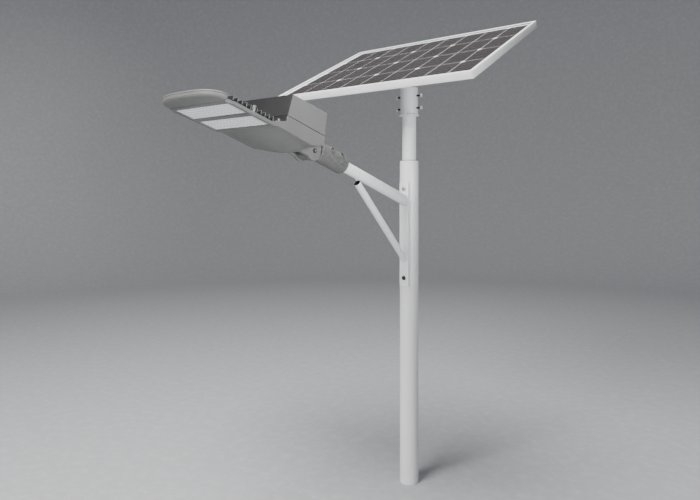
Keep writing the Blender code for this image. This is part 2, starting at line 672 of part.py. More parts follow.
def build_collar(swivel):
    lip_top = COLLAR_BOTTOM + COLLAR_LIP_HEIGHT
    heights = ((COLLAR_LIP_RADIUS, COLLAR_BOTTOM), (COLLAR_LIP_RADIUS, lip_top),
               (COLLAR_RADIUS, lip_top + 0.003), (COLLAR_RADIUS, COLLAR_TOP),
               (COLLAR_BORE, COLLAR_TOP), (COLLAR_BORE, COLLAR_BOTTOM))
    rings = [circle(radius, height) for radius, height in heights]
    collar = place("panel_collar", mesh_from(lambda form: skin(form, rings, loop=True)), WHITE_PAINT, swivel)
    holes = [((-0.05, 0.0, z), (1, 0, 0), 0.10, COLLAR_BOLT_RADIUS + CLEAR) for z in COLLAR_BOLT_HEIGHTS]
    cut(collar, pins(holes, BOLT_SIDES), swivel)
    number = 0
    for sign in (-1, 1):
        for height in COLLAR_BOLT_HEIGHTS:
            number += 1
            frame = aim((sign * COLLAR_BOLT_REACH, 0.0, height), (-sign, 0, 0))
            shank = COLLAR_BOLT_REACH - MAST_RADIUS - GAP
            place(f"collar_bolt_{number}", hex_bolt(COLLAR_BOLT_RADIUS, shank, frame), DARK_STEEL, swivel)


def clevis_ear(radius, base_half, base_height, centre_height):
    """A plate outline in (y, z): a round top about the pivot on a wider foot."""
    round_top = arc(radius, 0.0, 180.0, 10, (0.0, centre_height))
    return round_top + [(-base_half, base_height), (base_half, base_height)]


def build_yoke(swivel):
    base_low = COLLAR_TOP + GAP
    base_high = base_low + YOKE_THICKNESS
    yoke = place("tilt_yoke", box((-YOKE_HALF_WIDTH, -YOKE_BASE_HALF, base_low),
                                  (YOKE_HALF_WIDTH, YOKE_BASE_HALF, base_high)), GALVANISED, swivel)
    ear = clevis_ear(YOKE_RADIUS, YOKE_BASE_HALF - 0.002, base_low + 0.001, TILT_PIVOT.z)
    inside = YOKE_HALF_WIDTH - YOKE_THICKNESS
    spans = ((-YOKE_HALF_WIDTH, -inside), (inside, YOKE_HALF_WIDTH))
    weld(yoke, prisms(ear, spans, "X"), swivel)
    hole = ((-0.05, 0.0, TILT_PIVOT.z), (1, 0, 0), 0.10, TILT_BOLT_RADIUS + CLEAR)
    cut(yoke, pins([hole]), swivel)

    outside = SADDLE_HALF_WIDTH + GAP
    bolt_frame = aim((outside, 0.0, TILT_PIVOT.z), (-1, 0, 0))
    place("tilt_bolt", hex_bolt(TILT_BOLT_RADIUS, 2.0 * outside + 0.011, bolt_frame), BRIGHT_STEEL, swivel)
    nut_frame = aim((-outside, 0.0, TILT_PIVOT.z), (-1, 0, 0))
    place("tilt_nut", hex_nut(TILT_BOLT_RADIUS, nut_frame), BRIGHT_STEEL, swivel)


# ---------------------------------------------------------------- panel

def build_saddle(panel):
    """The plate under the support rails, with two cheeks that hang outside the yoke's ears."""
    top = FRAME_BOTTOM - GAP - SUPPORT_SIZE - GAP
    low = top - SADDLE_THICKNESS
    y0 = PANEL_CENTRE_Y - SADDLE_HALF_LENGTH
    y1 = PANEL_CENTRE_Y + SADDLE_HALF_LENGTH
    slab = box((-SADDLE_HALF_WIDTH, y0, low), (SADDLE_HALF_WIDTH, y1, top))
    saddle = place("panel_saddle", slab, GALVANISED, panel)
    cheek = arc(YOKE_RADIUS, 180.0, 360.0, 10) + [(0.052, low + 0.002), (-0.052, low + 0.002)]
    spans = ((-SADDLE_HALF_WIDTH, -SADDLE_FLANGE_INNER), (SADDLE_FLANGE_INNER, SADDLE_HALF_WIDTH))
    weld(saddle, prisms(cheek, spans, "X"), panel)
    pivot_hole = ((-0.05, 0.0, 0.0), (1, 0, 0), 0.10, TILT_BOLT_RADIUS + CLEAR)
    spots = saddle_bolt_spots()
    bolt_holes = [((x, y, low - 0.01), (0, 0, 1), 0.02, PANEL_BOLT_RADIUS + CLEAR) for x, y in spots]
    cut(saddle, pins([pivot_hole] + bolt_holes, BOLT_SIDES), panel)
    for number, (x, y) in enumerate(spots, start=1):
        frame = aim((x, y, low - GAP), (0, 0, 1))
        place(f"saddle_bolt_{number}", hex_bolt(PANEL_BOLT_RADIUS, 0.016, frame), BRIGHT_STEEL, panel)


def rail_ys():
    return {"lower": PANEL_CENTRE_Y - SUPPORT_OFFSET, "upper": PANEL_CENTRE_Y + SUPPORT_OFFSET}


def frame_bolt_xs():
    return (PANEL_CENTRE_X - SUPPORT_BOLT_REACH, PANEL_CENTRE_X + SUPPORT_BOLT_REACH)


def saddle_bolt_spots():
    return [(x, y) for y in rail_ys().values() for x in (-SADDLE_BOLT_X, SADDLE_BOLT_X)]


def snip(end, inward, low, high):
    """A wedge that cuts a rail's end to a slant, from its foot up to its top flange, as (x, z)."""
    foot = Vector((end + inward * SUPPORT_SNIP, low))
    heel = Vector((end, high - SUPPORT_THICKNESS - 0.0005))
    beyond = 0.2 * (heel - foot)
    tip = heel + beyond
    toe = foot - beyond
    return [tip, toe, Vector((tip.x, toe.y))]


def build_support_rails(panel):
    """Two steel angles across the back of the frame, bolted to its short sides."""
    low = FRAME_BOTTOM - GAP - SUPPORT_SIZE
    high = FRAME_BOTTOM - GAP
    thin = SUPPORT_THICKNESS
    half = 0.5 * SUPPORT_SIZE
    number = 0
    for name, centre in rail_ys().items():
        outline = [(centre - half, low), (centre + half, low), (centre + half, low + thin),
                   (centre - half + thin, low + thin), (centre - half + thin, high - thin),
                   (centre + half, high - thin), (centre + half, high), (centre - half, high)]
        ends = (PANEL_CENTRE_X - 0.5 * SUPPORT_LENGTH, PANEL_CENTRE_X + 0.5 * SUPPORT_LENGTH)
        rail = place(f"support_rail_{name}", prism(outline, *ends, "X"), GALVANISED, panel)
        holes = [((x, centre, low - 0.004), (0, 0, 1), 0.012, PANEL_BOLT_RADIUS + CLEAR)
                 for x in (-SADDLE_BOLT_X, SADDLE_BOLT_X)]
        holes += [((x, centre, high - 0.008), (0, 0, 1), 0.012, PANEL_BOLT_RADIUS + CLEAR)
                  for x in frame_bolt_xs()]
        cut(rail, pins(holes, BOLT_SIDES), panel)
        for end, inward in zip(ends, (1.0, -1.0)):
            wedge = snip(end, inward, low, high)
            cut(rail, prism(wedge, centre - half - 0.01, centre + half + 0.01, "Y"), panel)
        for x in frame_bolt_xs():
            number += 1
            frame = aim((x, centre, high - thin - GAP), (0, 0, 1))
            place(f"frame_bolt_{number}", hex_bolt(PANEL_BOLT_RADIUS, 0.012, frame), BRIGHT_STEEL, panel)


def frame_profile():
    """The frame's section as (distance in from the outer face, height above its underside)."""
    wall = FRAME_WALL
    ledge_top = FRAME_HEIGHT - wall - GLASS_THICKNESS - SHEET_THICKNESS - 3.0 * GAP
    ledge_low = ledge_top - 0.0015
    return [(0.0, 0.0), (0.0, FRAME_HEIGHT), (FRAME_LIP, FRAME_HEIGHT), (FRAME_LIP, FRAME_HEIGHT - wall),
            (wall, FRAME_HEIGHT - wall), (wall, ledge_top), (FRAME_LIP, ledge_top), (FRAME_LIP, ledge_low),
            (wall, ledge_low), (wall, wall), (FRAME_FLANGE, wall), (FRAME_FLANGE, 0.0)]


def frame_bar(half_run, half_across, along_x, sign):
    """One mitred bar of the frame, from one corner to the next."""
    rings = []
    for end in (-1.0, 1.0):
        ring = []
        for inward, height in frame_profile():
            run = end * (half_run - inward - GAP)
            across = sign * (half_across - inward)
            x, y = (run, across) if along_x else (across, run)
            ring.append(Vector((PANEL_CENTRE_X + x, PANEL_CENTRE_Y + y, FRAME_BOTTOM + height)))
        rings.append(ring)
    return mesh_from(lambda form: skin(form, rings))


def build_panel_frame(panel):
    half_x = 0.5 * PANEL_LENGTH
    half_y = 0.5 * PANEL_WIDTH
    bars = {"frame_bar_lower": (half_x, half_y, True, -1.0), "frame_bar_upper": (half_x, half_y, True, 1.0),
            "frame_bar_left": (half_y, half_x, False, -1.0), "frame_bar_right": (half_y, half_x, False, 1.0)}
    for name, size in bars.items():
        bar = place(name, frame_bar(*size), ALUMINIUM, panel)
        if not size[2]:
            x = PANEL_CENTRE_X + size[3] * SUPPORT_BOLT_REACH
            holes = [((x, y, FRAME_BOTTOM - 0.004), (0, 0, 1), 0.010, PANEL_BOLT_RADIUS + CLEAR)
                     for y in rail_ys().values()]
            cut(bar, pins(holes, BOLT_SIDES), panel)


def build_laminate(panel):
    half_x = 0.5 * PANEL_LENGTH - FRAME_WALL - 0.001
    half_y = 0.5 * PANEL_WIDTH - FRAME_WALL - 0.001
    x0 = PANEL_CENTRE_X - half_x
    x1 = PANEL_CENTRE_X + half_x
    y0 = PANEL_CENTRE_Y - half_y
    y1 = PANEL_CENTRE_Y + half_y
    glass_top = FRAME_BOTTOM + FRAME_HEIGHT - FRAME_WALL - GAP
    glass_low = glass_top - GLASS_THICKNESS
    sheet_top = glass_low - GAP
    sheet_low = sheet_top - SHEET_THICKNESS
    place("panel_glass", box((x0, y0, glass_low), (x1, y1, glass_top)), GLASS, panel)
    place("cell_sheet", box((x0, y0, sheet_low), (x1, y1, sheet_top)), CELLS, panel)

    build_junction_box(sheet_low - GAP, panel)


def build_junction_box(top, panel):
    """The tray for the cable joints on the panel's back, its two cable glands and its lid."""
    low = top - JUNCTION_HEIGHT
    half = JUNCTION_HALF_WIDTH
    y0 = JUNCTION_CENTRE_Y - JUNCTION_HALF_LENGTH
    y1 = JUNCTION_CENTRE_Y + JUNCTION_HALF_LENGTH
    wall = JUNCTION_WALL
    junction = place("junction_box", box((-half, y0, low), (half, y1, top)), BLACK_PLASTIC, panel)
    cut(junction, box((-half + wall, y0 + wall, low - 0.01), (half - wall, y1 - wall, top - 0.0020)), panel)
    height = low + 0.5 * JUNCTION_HEIGHT
    root = y0 + 0.5 * wall
    glands = [((x, root, height), (0, -1, 0), GLAND_LENGTH, GLAND_RADIUS) for x in (-GLAND_X, GLAND_X)]
    weld(junction, pins(glands), panel)
    lid = box((-half, y0, low - GAP - JUNCTION_LID), (half, y1, low - GAP))
    place("junction_lid", lid, BLACK_PLASTIC, panel)


def main():
    clear_scene()
    arm = empty("arm_axis", ARM_ROOT, (-ARM_RISE, 0.0, 0.0))
    head = empty("head_axis", HEAD_PIVOT, (-HEAD_RISE, 0.0, 0.0))
    swivel = empty("swivel_axis", (0.0, 0.0, 0.0))
    panel = empty("tilt_axis", TILT_PIVOT, (PANEL_TILT, 0.0, 0.0))
    build_pole()
    build_back_plate()
    build_arm()
    build_clamp(arm)
    build_knuckle_bolt(head)
    build_head_frame(head)
    for name, start in LENS_STARTS.items():
        build_module(name, start, head)
    build_tip(head)
    build_housing(head)
    build_cover(head)
    build_electronics(head)
    build_collar(swivel)
    build_yoke(swivel)
    build_saddle(panel)
    build_support_rails(panel)
    build_panel_frame(panel)
    build_laminate(panel)


main()
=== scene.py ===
"""Looks of the solar street lamp: studio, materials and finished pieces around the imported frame."""

import json
import math

import bmesh
import bpy
from mathutils import Matrix, Vector, noise


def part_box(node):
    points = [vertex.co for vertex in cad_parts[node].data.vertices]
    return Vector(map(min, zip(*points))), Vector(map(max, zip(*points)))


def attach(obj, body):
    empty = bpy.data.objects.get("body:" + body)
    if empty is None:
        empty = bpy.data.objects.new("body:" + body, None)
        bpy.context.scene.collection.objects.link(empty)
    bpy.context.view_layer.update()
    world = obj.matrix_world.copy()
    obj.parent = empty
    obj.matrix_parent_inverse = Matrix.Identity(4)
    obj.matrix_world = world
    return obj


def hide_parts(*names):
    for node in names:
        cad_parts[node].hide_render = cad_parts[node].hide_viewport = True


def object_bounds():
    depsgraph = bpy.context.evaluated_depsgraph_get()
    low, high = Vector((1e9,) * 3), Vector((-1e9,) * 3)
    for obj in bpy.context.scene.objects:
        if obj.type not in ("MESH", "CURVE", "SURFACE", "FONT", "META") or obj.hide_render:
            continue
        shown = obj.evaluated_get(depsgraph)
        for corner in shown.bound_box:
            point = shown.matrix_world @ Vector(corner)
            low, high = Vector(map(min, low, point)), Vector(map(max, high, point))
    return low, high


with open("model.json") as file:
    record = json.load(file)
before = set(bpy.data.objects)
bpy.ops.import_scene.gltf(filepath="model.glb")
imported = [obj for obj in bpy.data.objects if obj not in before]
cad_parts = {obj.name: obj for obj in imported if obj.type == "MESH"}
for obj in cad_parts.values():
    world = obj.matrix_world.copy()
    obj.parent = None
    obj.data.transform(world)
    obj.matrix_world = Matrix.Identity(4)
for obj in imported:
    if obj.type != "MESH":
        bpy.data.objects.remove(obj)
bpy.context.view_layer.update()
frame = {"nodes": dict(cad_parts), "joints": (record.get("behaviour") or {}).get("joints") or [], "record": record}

ROUND = 72                       # sides of a large round piece
SMALL_ROUND = 36                 # sides of a bolt
SMOOTH_ANGLE = math.radians(32.0)

joints = {joint["name"]: joint for joint in frame["joints"]}
mounts = {mount["name"]: mount for mount in frame["record"]["mounts"]}


# -------- spaces of the lamp's parts

def centre(node):
    low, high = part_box(node)
    return (low + high) / 2.0


def space(origin, forward):
    """A frame at the origin with X across the lamp and -Y along the forward direction."""
    across = Vector((1.0, 0.0, 0.0))
    back = -Vector(forward).normalized()
    up = across.cross(back)
    turn = Matrix((across, back, up)).transposed()
    return Matrix.Translation(Vector(origin)) @ turn.to_4x4()


WORLD = Matrix.Identity(4)
ARM = space(joints["head_roll"]["pos_m"], joints["head_roll"]["axis"])
HEAD = space(joints["head_tilt"]["pos_m"], centre("lens_plate_front") - centre("lens_plate_rear"))
PANEL = space(joints["panel_tilt"]["pos_m"], mounts["panel_edge_face"]["axis"])


def points_of(node, place):
    """A CAD node's vertices in the coordinates of a space."""
    inverse = place.inverted()
    return [inverse @ vertex.co for vertex in frame["nodes"][node].data.vertices]


def extent(node, place):
    points = points_of(node, place)
    low = Vector(min(p[i] for p in points) for i in range(3))
    high = Vector(max(p[i] for p in points) for i in range(3))
    return low, high


# -------- studio

CAMERA_PLACE = Vector((1.1682, -1.9363, 1.0780))
CAMERA_AZIMUTH = math.radians(36.8)
CAMERA_LENS = 30.5
HORIZON_SHIFT = -0.0757
STUDIO_RADIUS = 8.0
STUDIO_BEND = 2.5
STUDIO_HEIGHT = 5.0


def build_camera():
    data = bpy.data.cameras.new("camera")
    camera = bpy.data.objects.new("camera", data)
    bpy.context.scene.collection.objects.link(camera)
    data.lens = CAMERA_LENS
    data.sensor_width = 36.0
    data.shift_y = HORIZON_SHIFT
    camera.location = CAMERA_PLACE
    camera.rotation_euler = (math.radians(90.0), 0.0, CAMERA_AZIMUTH)
    bpy.context.scene.camera = camera


def area_light(name, place, target, size, power, colour=(1.0, 1.0, 1.0), spread_angle=math.pi):
    data = bpy.data.lights.new(name, "AREA")
    data.shape = "DISK"
    data.size = size
    data.energy = power
    data.color = colour
    data.spread = spread_angle
    light = bpy.data.objects.new(name, data)
    bpy.context.scene.collection.objects.link(light)
    light.location = place
    light.rotation_euler = (Vector(target) - Vector(place)).to_track_quat("-Z", "Y").to_euler()


def build_lights():
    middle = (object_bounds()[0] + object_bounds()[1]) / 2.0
    head = centre("battery_cover")
    area_light("key", (-0.4, -3.3, 3.1), middle, 2.0, 215.0, (1.0, 0.99, 0.97))
    area_light("side", (3.2, -1.7, 1.2), head, 0.9, 6.5, (0.98, 0.99, 1.0), math.radians(28.0))
    area_light("top", (0.2, -0.6, 4.7), middle, 2.0, 210.0)
    world = bpy.data.worlds.new("studio")
    world.use_nodes = True
    world.node_tree.nodes["Background"].inputs["Color"].default_value = (0.82, 0.86, 0.92, 1.0)
    world.node_tree.nodes["Background"].inputs["Strength"].default_value = 0.36
    bpy.context.scene.world = world


def build_floor(finish):
    """A round floor that bends up into a wall all round, so that no horizon shows."""
    steps = 12
    profile = [(0.001, 0.0), (STUDIO_RADIUS - STUDIO_BEND, 0.0)]
    for i in range(1, steps + 1):
        angle = 0.5 * math.pi * i / steps
        profile.append((STUDIO_RADIUS - STUDIO_BEND + STUDIO_BEND * math.sin(angle),
                        STUDIO_BEND - STUDIO_BEND * math.cos(angle)))
    profile.append((STUDIO_RADIUS, STUDIO_HEIGHT))
    form = bmesh.new()
    skin(form, [circle(radius, height, ROUND) for radius, height in profile], caps=False)
    bmesh.ops.recalc_face_normals(form, faces=form.faces)
    bmesh.ops.reverse_faces(form, faces=form.faces)
    floor = link("studio_floor", mesh_of(form), WORLD)
    floor.data.materials.append(finish)
    floor.data.shade_smooth()


# -------- material helpers

def new_material(name, colour, roughness, metallic=0.0):
    made = bpy.data.materials.new(name)
    made.use_nodes = True
    shader = made.node_tree.nodes["Principled BSDF"]
    shader.inputs["Base Color"].default_value = (*colour, 1.0)
    shader.inputs["Roughness"].default_value = roughness
    shader.inputs["Metallic"].default_value = metallic
    return made, made.node_tree, shader


def feed(tree, socket, value):
    """Sets a socket: another socket becomes a link, three numbers a colour."""
    if isinstance(value, bpy.types.NodeSocket):
        tree.links.new(value, socket)
    elif socket.type == "RGBA":
        socket.default_value = (*value, 1.0)
    else:
        socket.default_value = value


def add(tree, kind, inputs, **settings):
    """A node with its settings and inputs."""
    made = tree.nodes.new(kind)
    for key, value in settings.items():
        setattr(made, key, value)
    for key, value in inputs.items():
        feed(tree, made.inputs[key], value)
    return made


def coordinates(tree, stretch=(1.0, 1.0, 1.0)):
    """The piece's own coordinates in metres, stretched along its axes."""
    source = tree.nodes.new("ShaderNodeTexCoord")
    mapping = add(tree, "ShaderNodeMapping", {"Vector": source.outputs["Object"], "Scale": stretch})
    return mapping.outputs["Vector"]


def grain(tree, scale, detail=3.0, roughness=0.55, stretch=(1.0, 1.0, 1.0)):
    """Noise between 0 and 1."""
    inputs = {"Vector": coordinates(tree, stretch), "Scale": scale, "Detail": detail, "Roughness": roughness}
    return add(tree, "ShaderNodeTexNoise", inputs).outputs["Fac"]


def spread(tree, value, low, high, from_low=0.3, from_high=0.7):
    """Maps a noise value to a range of numbers."""
    inputs = {"Value": value, "From Min": from_low, "From Max": from_high, "To Min": low, "To Max": high}
    return add(tree, "ShaderNodeMapRange", inputs).outputs["Result"]


def blend_colours(tree, factor, first, second):
    """A mix of two colours; the node's colour sockets are its seventh and eighth."""
    made = add(tree, "ShaderNodeMix", {0: factor, 6: first, 7: second}, data_type="RGBA")
    return made.outputs[2]


def maths(tree, operation, first, second):
    return add(tree, "ShaderNodeMath", {0: first, 1: second}, operation=operation).outputs[0]


def drive(tree, shader, **sockets):
    for name, value in sockets.items():
        tree.links.new(value, shader.inputs[name.replace("_", " ")])


def bump(tree, shader, height, depth):
    """Bump of a real depth in metres."""
    made = add(tree, "ShaderNodeBump", {"Height": height, "Strength": 1.0, "Distance": depth})
    tree.links.new(made.outputs["Normal"], shader.inputs["Normal"])


# -------- materials

def powder_coat(name, colour, streak_colour, roughness, peel_scale, peel_depth, mottle, cloud_scale=9.0):
    """Powder coat: orange peel, cloudy colour, faint rain streaks along Z and patchy gloss."""
    made, tree, shader = new_material(name, colour, roughness)
    cloud = grain(tree, cloud_scale, 4.0)
    darker = tuple(c * (1.0 - mottle) for c in colour)
    base = blend_colours(tree, spread(tree, cloud, 0.0, 1.0), darker, colour)
    streaks = grain(tree, 60.0, 4.0, 0.6, (1.0, 1.0, 0.05))
    base = blend_colours(tree, spread(tree, streaks, 0.0, 0.35, 0.52, 0.78), base, streak_colour)
    speck = grain(tree, peel_scale * 1.7, 2.0)
    base = blend_colours(tree, spread(tree, speck, 0.0, mottle * 0.8), base, (0.02, 0.02, 0.02))
    gloss = spread(tree, grain(tree, 25.0), roughness - 0.06, roughness + 0.08)
    drive(tree, shader, Base_Color=base, Roughness=gloss)
    bump(tree, shader, grain(tree, peel_scale, 2.0), peel_depth)
    return made


def metal(name, colour, roughness, metallic=1.0, variation=0.15):
    """Machined or drawn metal with a fine grain and a few stains."""
    made, tree, shader = new_material(name, colour, roughness, metallic)
    lines = grain(tree, 900.0, 2.0, 0.5)
    dull = tuple(c * (1.0 - variation) for c in colour)
    base = blend_colours(tree, spread(tree, lines, 0.0, 1.0), dull, colour)
    stain = grain(tree, 35.0, 5.0, 0.65)
    base = blend_colours(tree, spread(tree, stain, 0.0, variation, 0.5, 0.75), base, (0.10, 0.09, 0.08))
    drive(tree, shader, Base_Color=base, Roughness=spread(tree, lines, roughness - 0.05, roughness + 0.12))
    bump(tree, shader, lines, 0.00002)
    return made


def galvanised(name):
    """Hot-dip zinc: flat crystals of different greys, a frosty bloom and soft pits."""
    made, tree, shader = new_material(name, (0.5, 0.5, 0.5), 0.42, 0.85)
    cells = add(tree, "ShaderNodeTexVoronoi", {"Vector": coordinates(tree), "Scale": 110.0})
    grey = add(tree, "ShaderNodeSeparateColor", {"Color": cells.outputs["Color"]}).outputs["Red"]
    base = blend_colours(tree, grey, (0.33, 0.34, 0.36), (0.58, 0.59, 0.60))
    bloom = grain(tree, 14.0, 5.0, 0.6)
    base = blend_colours(tree, spread(tree, bloom, 0.0, 0.45, 0.45, 0.75), base, (0.62, 0.62, 0.62))
    drive(tree, shader, Base_Color=base, Roughness=spread(tree, grey, 0.34, 0.52, 0.0, 1.0))
    bump(tree, shader, grain(tree, 160.0, 3.0), 0.00012)
    return made


def moulded(name, colour, roughness, depth=0.00003, scale=1400.0):
    """Moulded plastic or rubber with a fine spark-eroded grain and a little dust."""
    made, tree, shader = new_material(name, colour, roughness)
    dust = grain(tree, 22.0, 5.0, 0.65)
    pale = tuple(min(1.0, c * 1.3 + 0.03) for c in colour)
    base = blend_colours(tree, spread(tree, dust, 0.0, 0.5, 0.45, 0.8), colour, pale)
    fine = grain(tree, scale, 2.0)
    drive(tree, shader, Base_Color=base, Roughness=spread(tree, fine, roughness - 0.06, roughness + 0.1))
    bump(tree, shader, fine, depth)
    return made


def lens_material():
    """Clear mouldings over a white board: pale and glossy, cloudy and finely rippled."""
    made, tree, shader = new_material("lens_plastic", (0.85, 0.85, 0.88), 0.16)
    cloud = grain(tree, 190.0, 3.0)
    base = blend_colours(tree, spread(tree, cloud, 0.0, 0.45), (0.90, 0.90, 0.93), (0.60, 0.60, 0.64))
    spots = add(tree, "ShaderNodeTexVoronoi", {"Vector": coordinates(tree), "Scale": 420.0})
    near = spread(tree, spots.outputs["Distance"], 0.35, 0.0, 0.05, 0.30)
    base = blend_colours(tree, near, base, (0.95, 0.94, 0.88))
    drive(tree, shader, Base_Color=base)
    shader.inputs["Coat Weight"].default_value = 0.4
    shader.inputs["Coat Roughness"].default_value = 0.12
    bump(tree, shader, cloud, 0.0002)
    return made


FINGER_PITCH = 0.0015
FINGER_WIDTH = 0.00022
GLASS_SHEEN = 0.08               # the anti-reflection coating's share of bare glass
GLASS_IOR = 1.32


def cell_material(pitch_x, pitch_y):
    """Monocrystalline silicon: near-black brown, fine printed fingers, each half wafer its own tone."""
    made, tree, shader = new_material("solar_cell", (0.03, 0.03, 0.035), 0.35)
    place = add(tree, "ShaderNodeSeparateXYZ", {"Vector": coordinates(tree)})
    column = maths(tree, "FLOOR", maths(tree, "DIVIDE", place.outputs["X"], pitch_x), 0.0)
    row = maths(tree, "FLOOR", maths(tree, "DIVIDE", place.outputs["Y"], pitch_y), 0.0)
    key = add(tree, "ShaderNodeCombineXYZ", {"X": column, "Y": row})
    tone = add(tree, "ShaderNodeTexWhiteNoise", {"Vector": key.outputs["Vector"]}).outputs["Value"]
    base = blend_colours(tree, tone, (0.023, 0.020, 0.020), (0.031, 0.027, 0.027))
    fingers = maths(tree, "PINGPONG", place.outputs["Y"], 0.5 * FINGER_PITCH)
    base = blend_colours(tree, spread(tree, fingers, 0.06, 0.0, 0.0, FINGER_WIDTH), base, (0.30, 0.30, 0.32))
    cloud = grain(tree, 30.0, 3.0)
    base = blend_colours(tree, spread(tree, cloud, 0.0, 0.3), base, (0.042, 0.034, 0.034))
    drive(tree, shader, Base_Color=base, Roughness=spread(tree, grain(tree, 300.0), 0.50, 0.60))
    shader.inputs["Specular IOR Level"].default_value = 0.0
    return made


def glass_material():
    """A clear sheet: mirror-like where it reflects, see-through elsewhere, by Fresnel."""
    made, tree, shader = new_material("glass", (0.92, 0.95, 0.97), 0.06, 1.0)
    gloss = add(tree, "ShaderNodeFresnel", {"IOR": GLASS_IOR}).outputs["Fac"]
    dust = spread(tree, grain(tree, 6.0, 6.0, 0.7), 0.0, 0.012)
    seen = maths(tree, "MULTIPLY", gloss, GLASS_SHEEN)
    smear = spread(tree, grain(tree, 3.0), 0.04, 0.10)
    drive(tree, shader, Alpha=maths(tree, "ADD", seen, dust), Roughness=smear)
    return made


MATERIALS = {
    "floor": moulded("studio", (0.40, 0.405, 0.415), 0.8, 0.00005, 300.0),
    "white_paint": powder_coat("white_paint", (0.88, 0.88, 0.89), (0.72, 0.71, 0.68),
                               0.36, 420.0, 0.00006, 0.05),
    "head_paint": powder_coat("head_paint", (0.150, 0.150, 0.145), (0.11, 0.11, 0.105),
                              0.50, 900.0, 0.00007, 0.16),
    "cast_paint": powder_coat("cast_paint", (0.150, 0.149, 0.143), (0.10, 0.10, 0.095),
                              0.55, 380.0, 0.00035, 0.45, 140.0),
    # near-black paint that is painted shade: the box's front, the apron's front, the fin flanks and the fin decks
    # are dark only from shade
    "painted_shade": powder_coat("painted_shade", (0.010, 0.010, 0.011), (0.018, 0.018, 0.018),
                             0.55, 900.0, 0.00006, 0.2),
    "aluminium": metal("aluminium", (0.91, 0.91, 0.90), 0.40, 0.10, 0.05),
    "galvanised_steel": galvanised("galvanised_steel"),
    "bright_steel": metal("bright_steel", (0.66, 0.66, 0.67), 0.28),
    "dark_steel": metal("dark_steel", (0.02, 0.02, 0.022), 0.5, 0.3, 0.3),
    # real black plastic on the junction box, its lid and the controller; the same finish is painted shade inside
    # the tube ends and on the collar slit's walls
    "black_plastic": moulded("black_plastic", (0.022, 0.022, 0.023), 0.5),
    "rubber": moulded("rubber", (0.018, 0.018, 0.019), 0.75),
    "back_sheet": moulded("back_sheet", (0.74, 0.75, 0.76), 0.55),
    "ribbon": metal("ribbon", (0.075, 0.070, 0.070), 0.6, 0.0, 0.1),
    "lens_plastic": lens_material(),
    "circuit_board": moulded("circuit_board", (0.75, 0.76, 0.74), 0.4),
    "battery_wrap": moulded("battery_wrap", (0.03, 0.10, 0.30), 0.35),
    "glass": glass_material(),
}
# the painted shade barely reflects, so that it stays dark
shade_paint_shader = MATERIALS["painted_shade"].node_tree.nodes["Principled BSDF"]
shade_paint_shader.inputs["Specular IOR Level"].default_value = 0.2


# -------- mesh helpers

def circle(radius, height, sides=ROUND):
    turns = (2.0 * math.pi * i / sides for i in range(sides))
    return [Vector((radius * math.cos(a), radius * math.sin(a), height)) for a in turns]


def skin(form, rings, loop=False, caps=True):
    """Quads between rings of equal length."""
    rows = [[form.verts.new(point) for point in ring] for ring in rings]
    pairs = list(zip(rows, rows[1:]))
    if loop:
        pairs.append((rows[-1], rows[0]))
    elif caps:
        form.faces.new(reversed(rows[0]))
        form.faces.new(rows[-1])
    count = len(rows[0])
    for lower, upper in pairs:
        for i in range(count):
            j = (i + 1) % count
            form.faces.new((lower[i], lower[j], upper[j], upper[i]))


def mesh_of(form):
    mesh = bpy.data.meshes.new("mesh")
    form.to_mesh(mesh)
    form.free()
    return mesh


def mesh_from(builder):
    form = bmesh.new()
    builder(form)
    bmesh.ops.recalc_face_normals(form, faces=form.faces)
    return mesh_of(form)


def skinned(rings, loop=False):
    return mesh_from(lambda form: skin(form, rings, loop))


def link(name, mesh, place):
    mesh.name = name
    made = bpy.data.objects.new(name, mesh)
    bpy.context.scene.collection.objects.link(made)
    made.matrix_world = place
    return made


def piece(name, mesh, place, body, slot, nodes=(), finish=None, sharp=SMOOTH_ANGLE):
    """Places a finished piece in its space: it rides on the body and stands for the CAD nodes."""
    made = link(name, mesh, place)
    if not mesh.materials:
        mesh.materials.append(finish if isinstance(finish, bpy.types.Material) else MATERIALS[finish or slot])
    mesh.shade_smooth()
    mesh.set_sharp_from_angle(angle=sharp)
    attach(made, body)
    if nodes:
        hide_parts(*nodes)
    return made


def two_tone(mesh, first, second, is_second):
    """Two finishes on a mesh: the second one on the faces that pass a test."""
    mesh.materials.append(MATERIALS[first])
    mesh.materials.append(MATERIALS[second])
    for face in mesh.polygons:
        face.material_index = 1 if is_second(face.center, face.normal) else 0


def rounded_edges(made, width, segments=3):
    bevel = made.modifiers.new("edges", "BEVEL")
    bevel.width = width
    bevel.segments = segments
    bevel.limit_method = "ANGLE"
    bevel.angle_limit = math.radians(28.0)
    bevel.harden_normals = False


def dress(node, finish, width):
    """A CAD node that stays: its slot's finish, flat faces joined, and edges broken by a small bevel."""
    made = frame["nodes"][node]
    made.data.materials.clear()
    made.data.materials.append(MATERIALS[finish])
    made.data.shade_smooth()
    weld = made.modifiers.new("weld", "WELD")
    weld.merge_threshold = 0.00001
    if width > 0.0:
        flat = made.modifiers.new("flat", "DECIMATE")
        flat.decimate_type = "DISSOLVE"
        flat.angle_limit = math.radians(1.0)
        rounded_edges(made, width, 2)
    smooth = made.modifiers.new("smooth", "EDGE_SPLIT")
    smooth.split_angle = SMOOTH_ANGLE


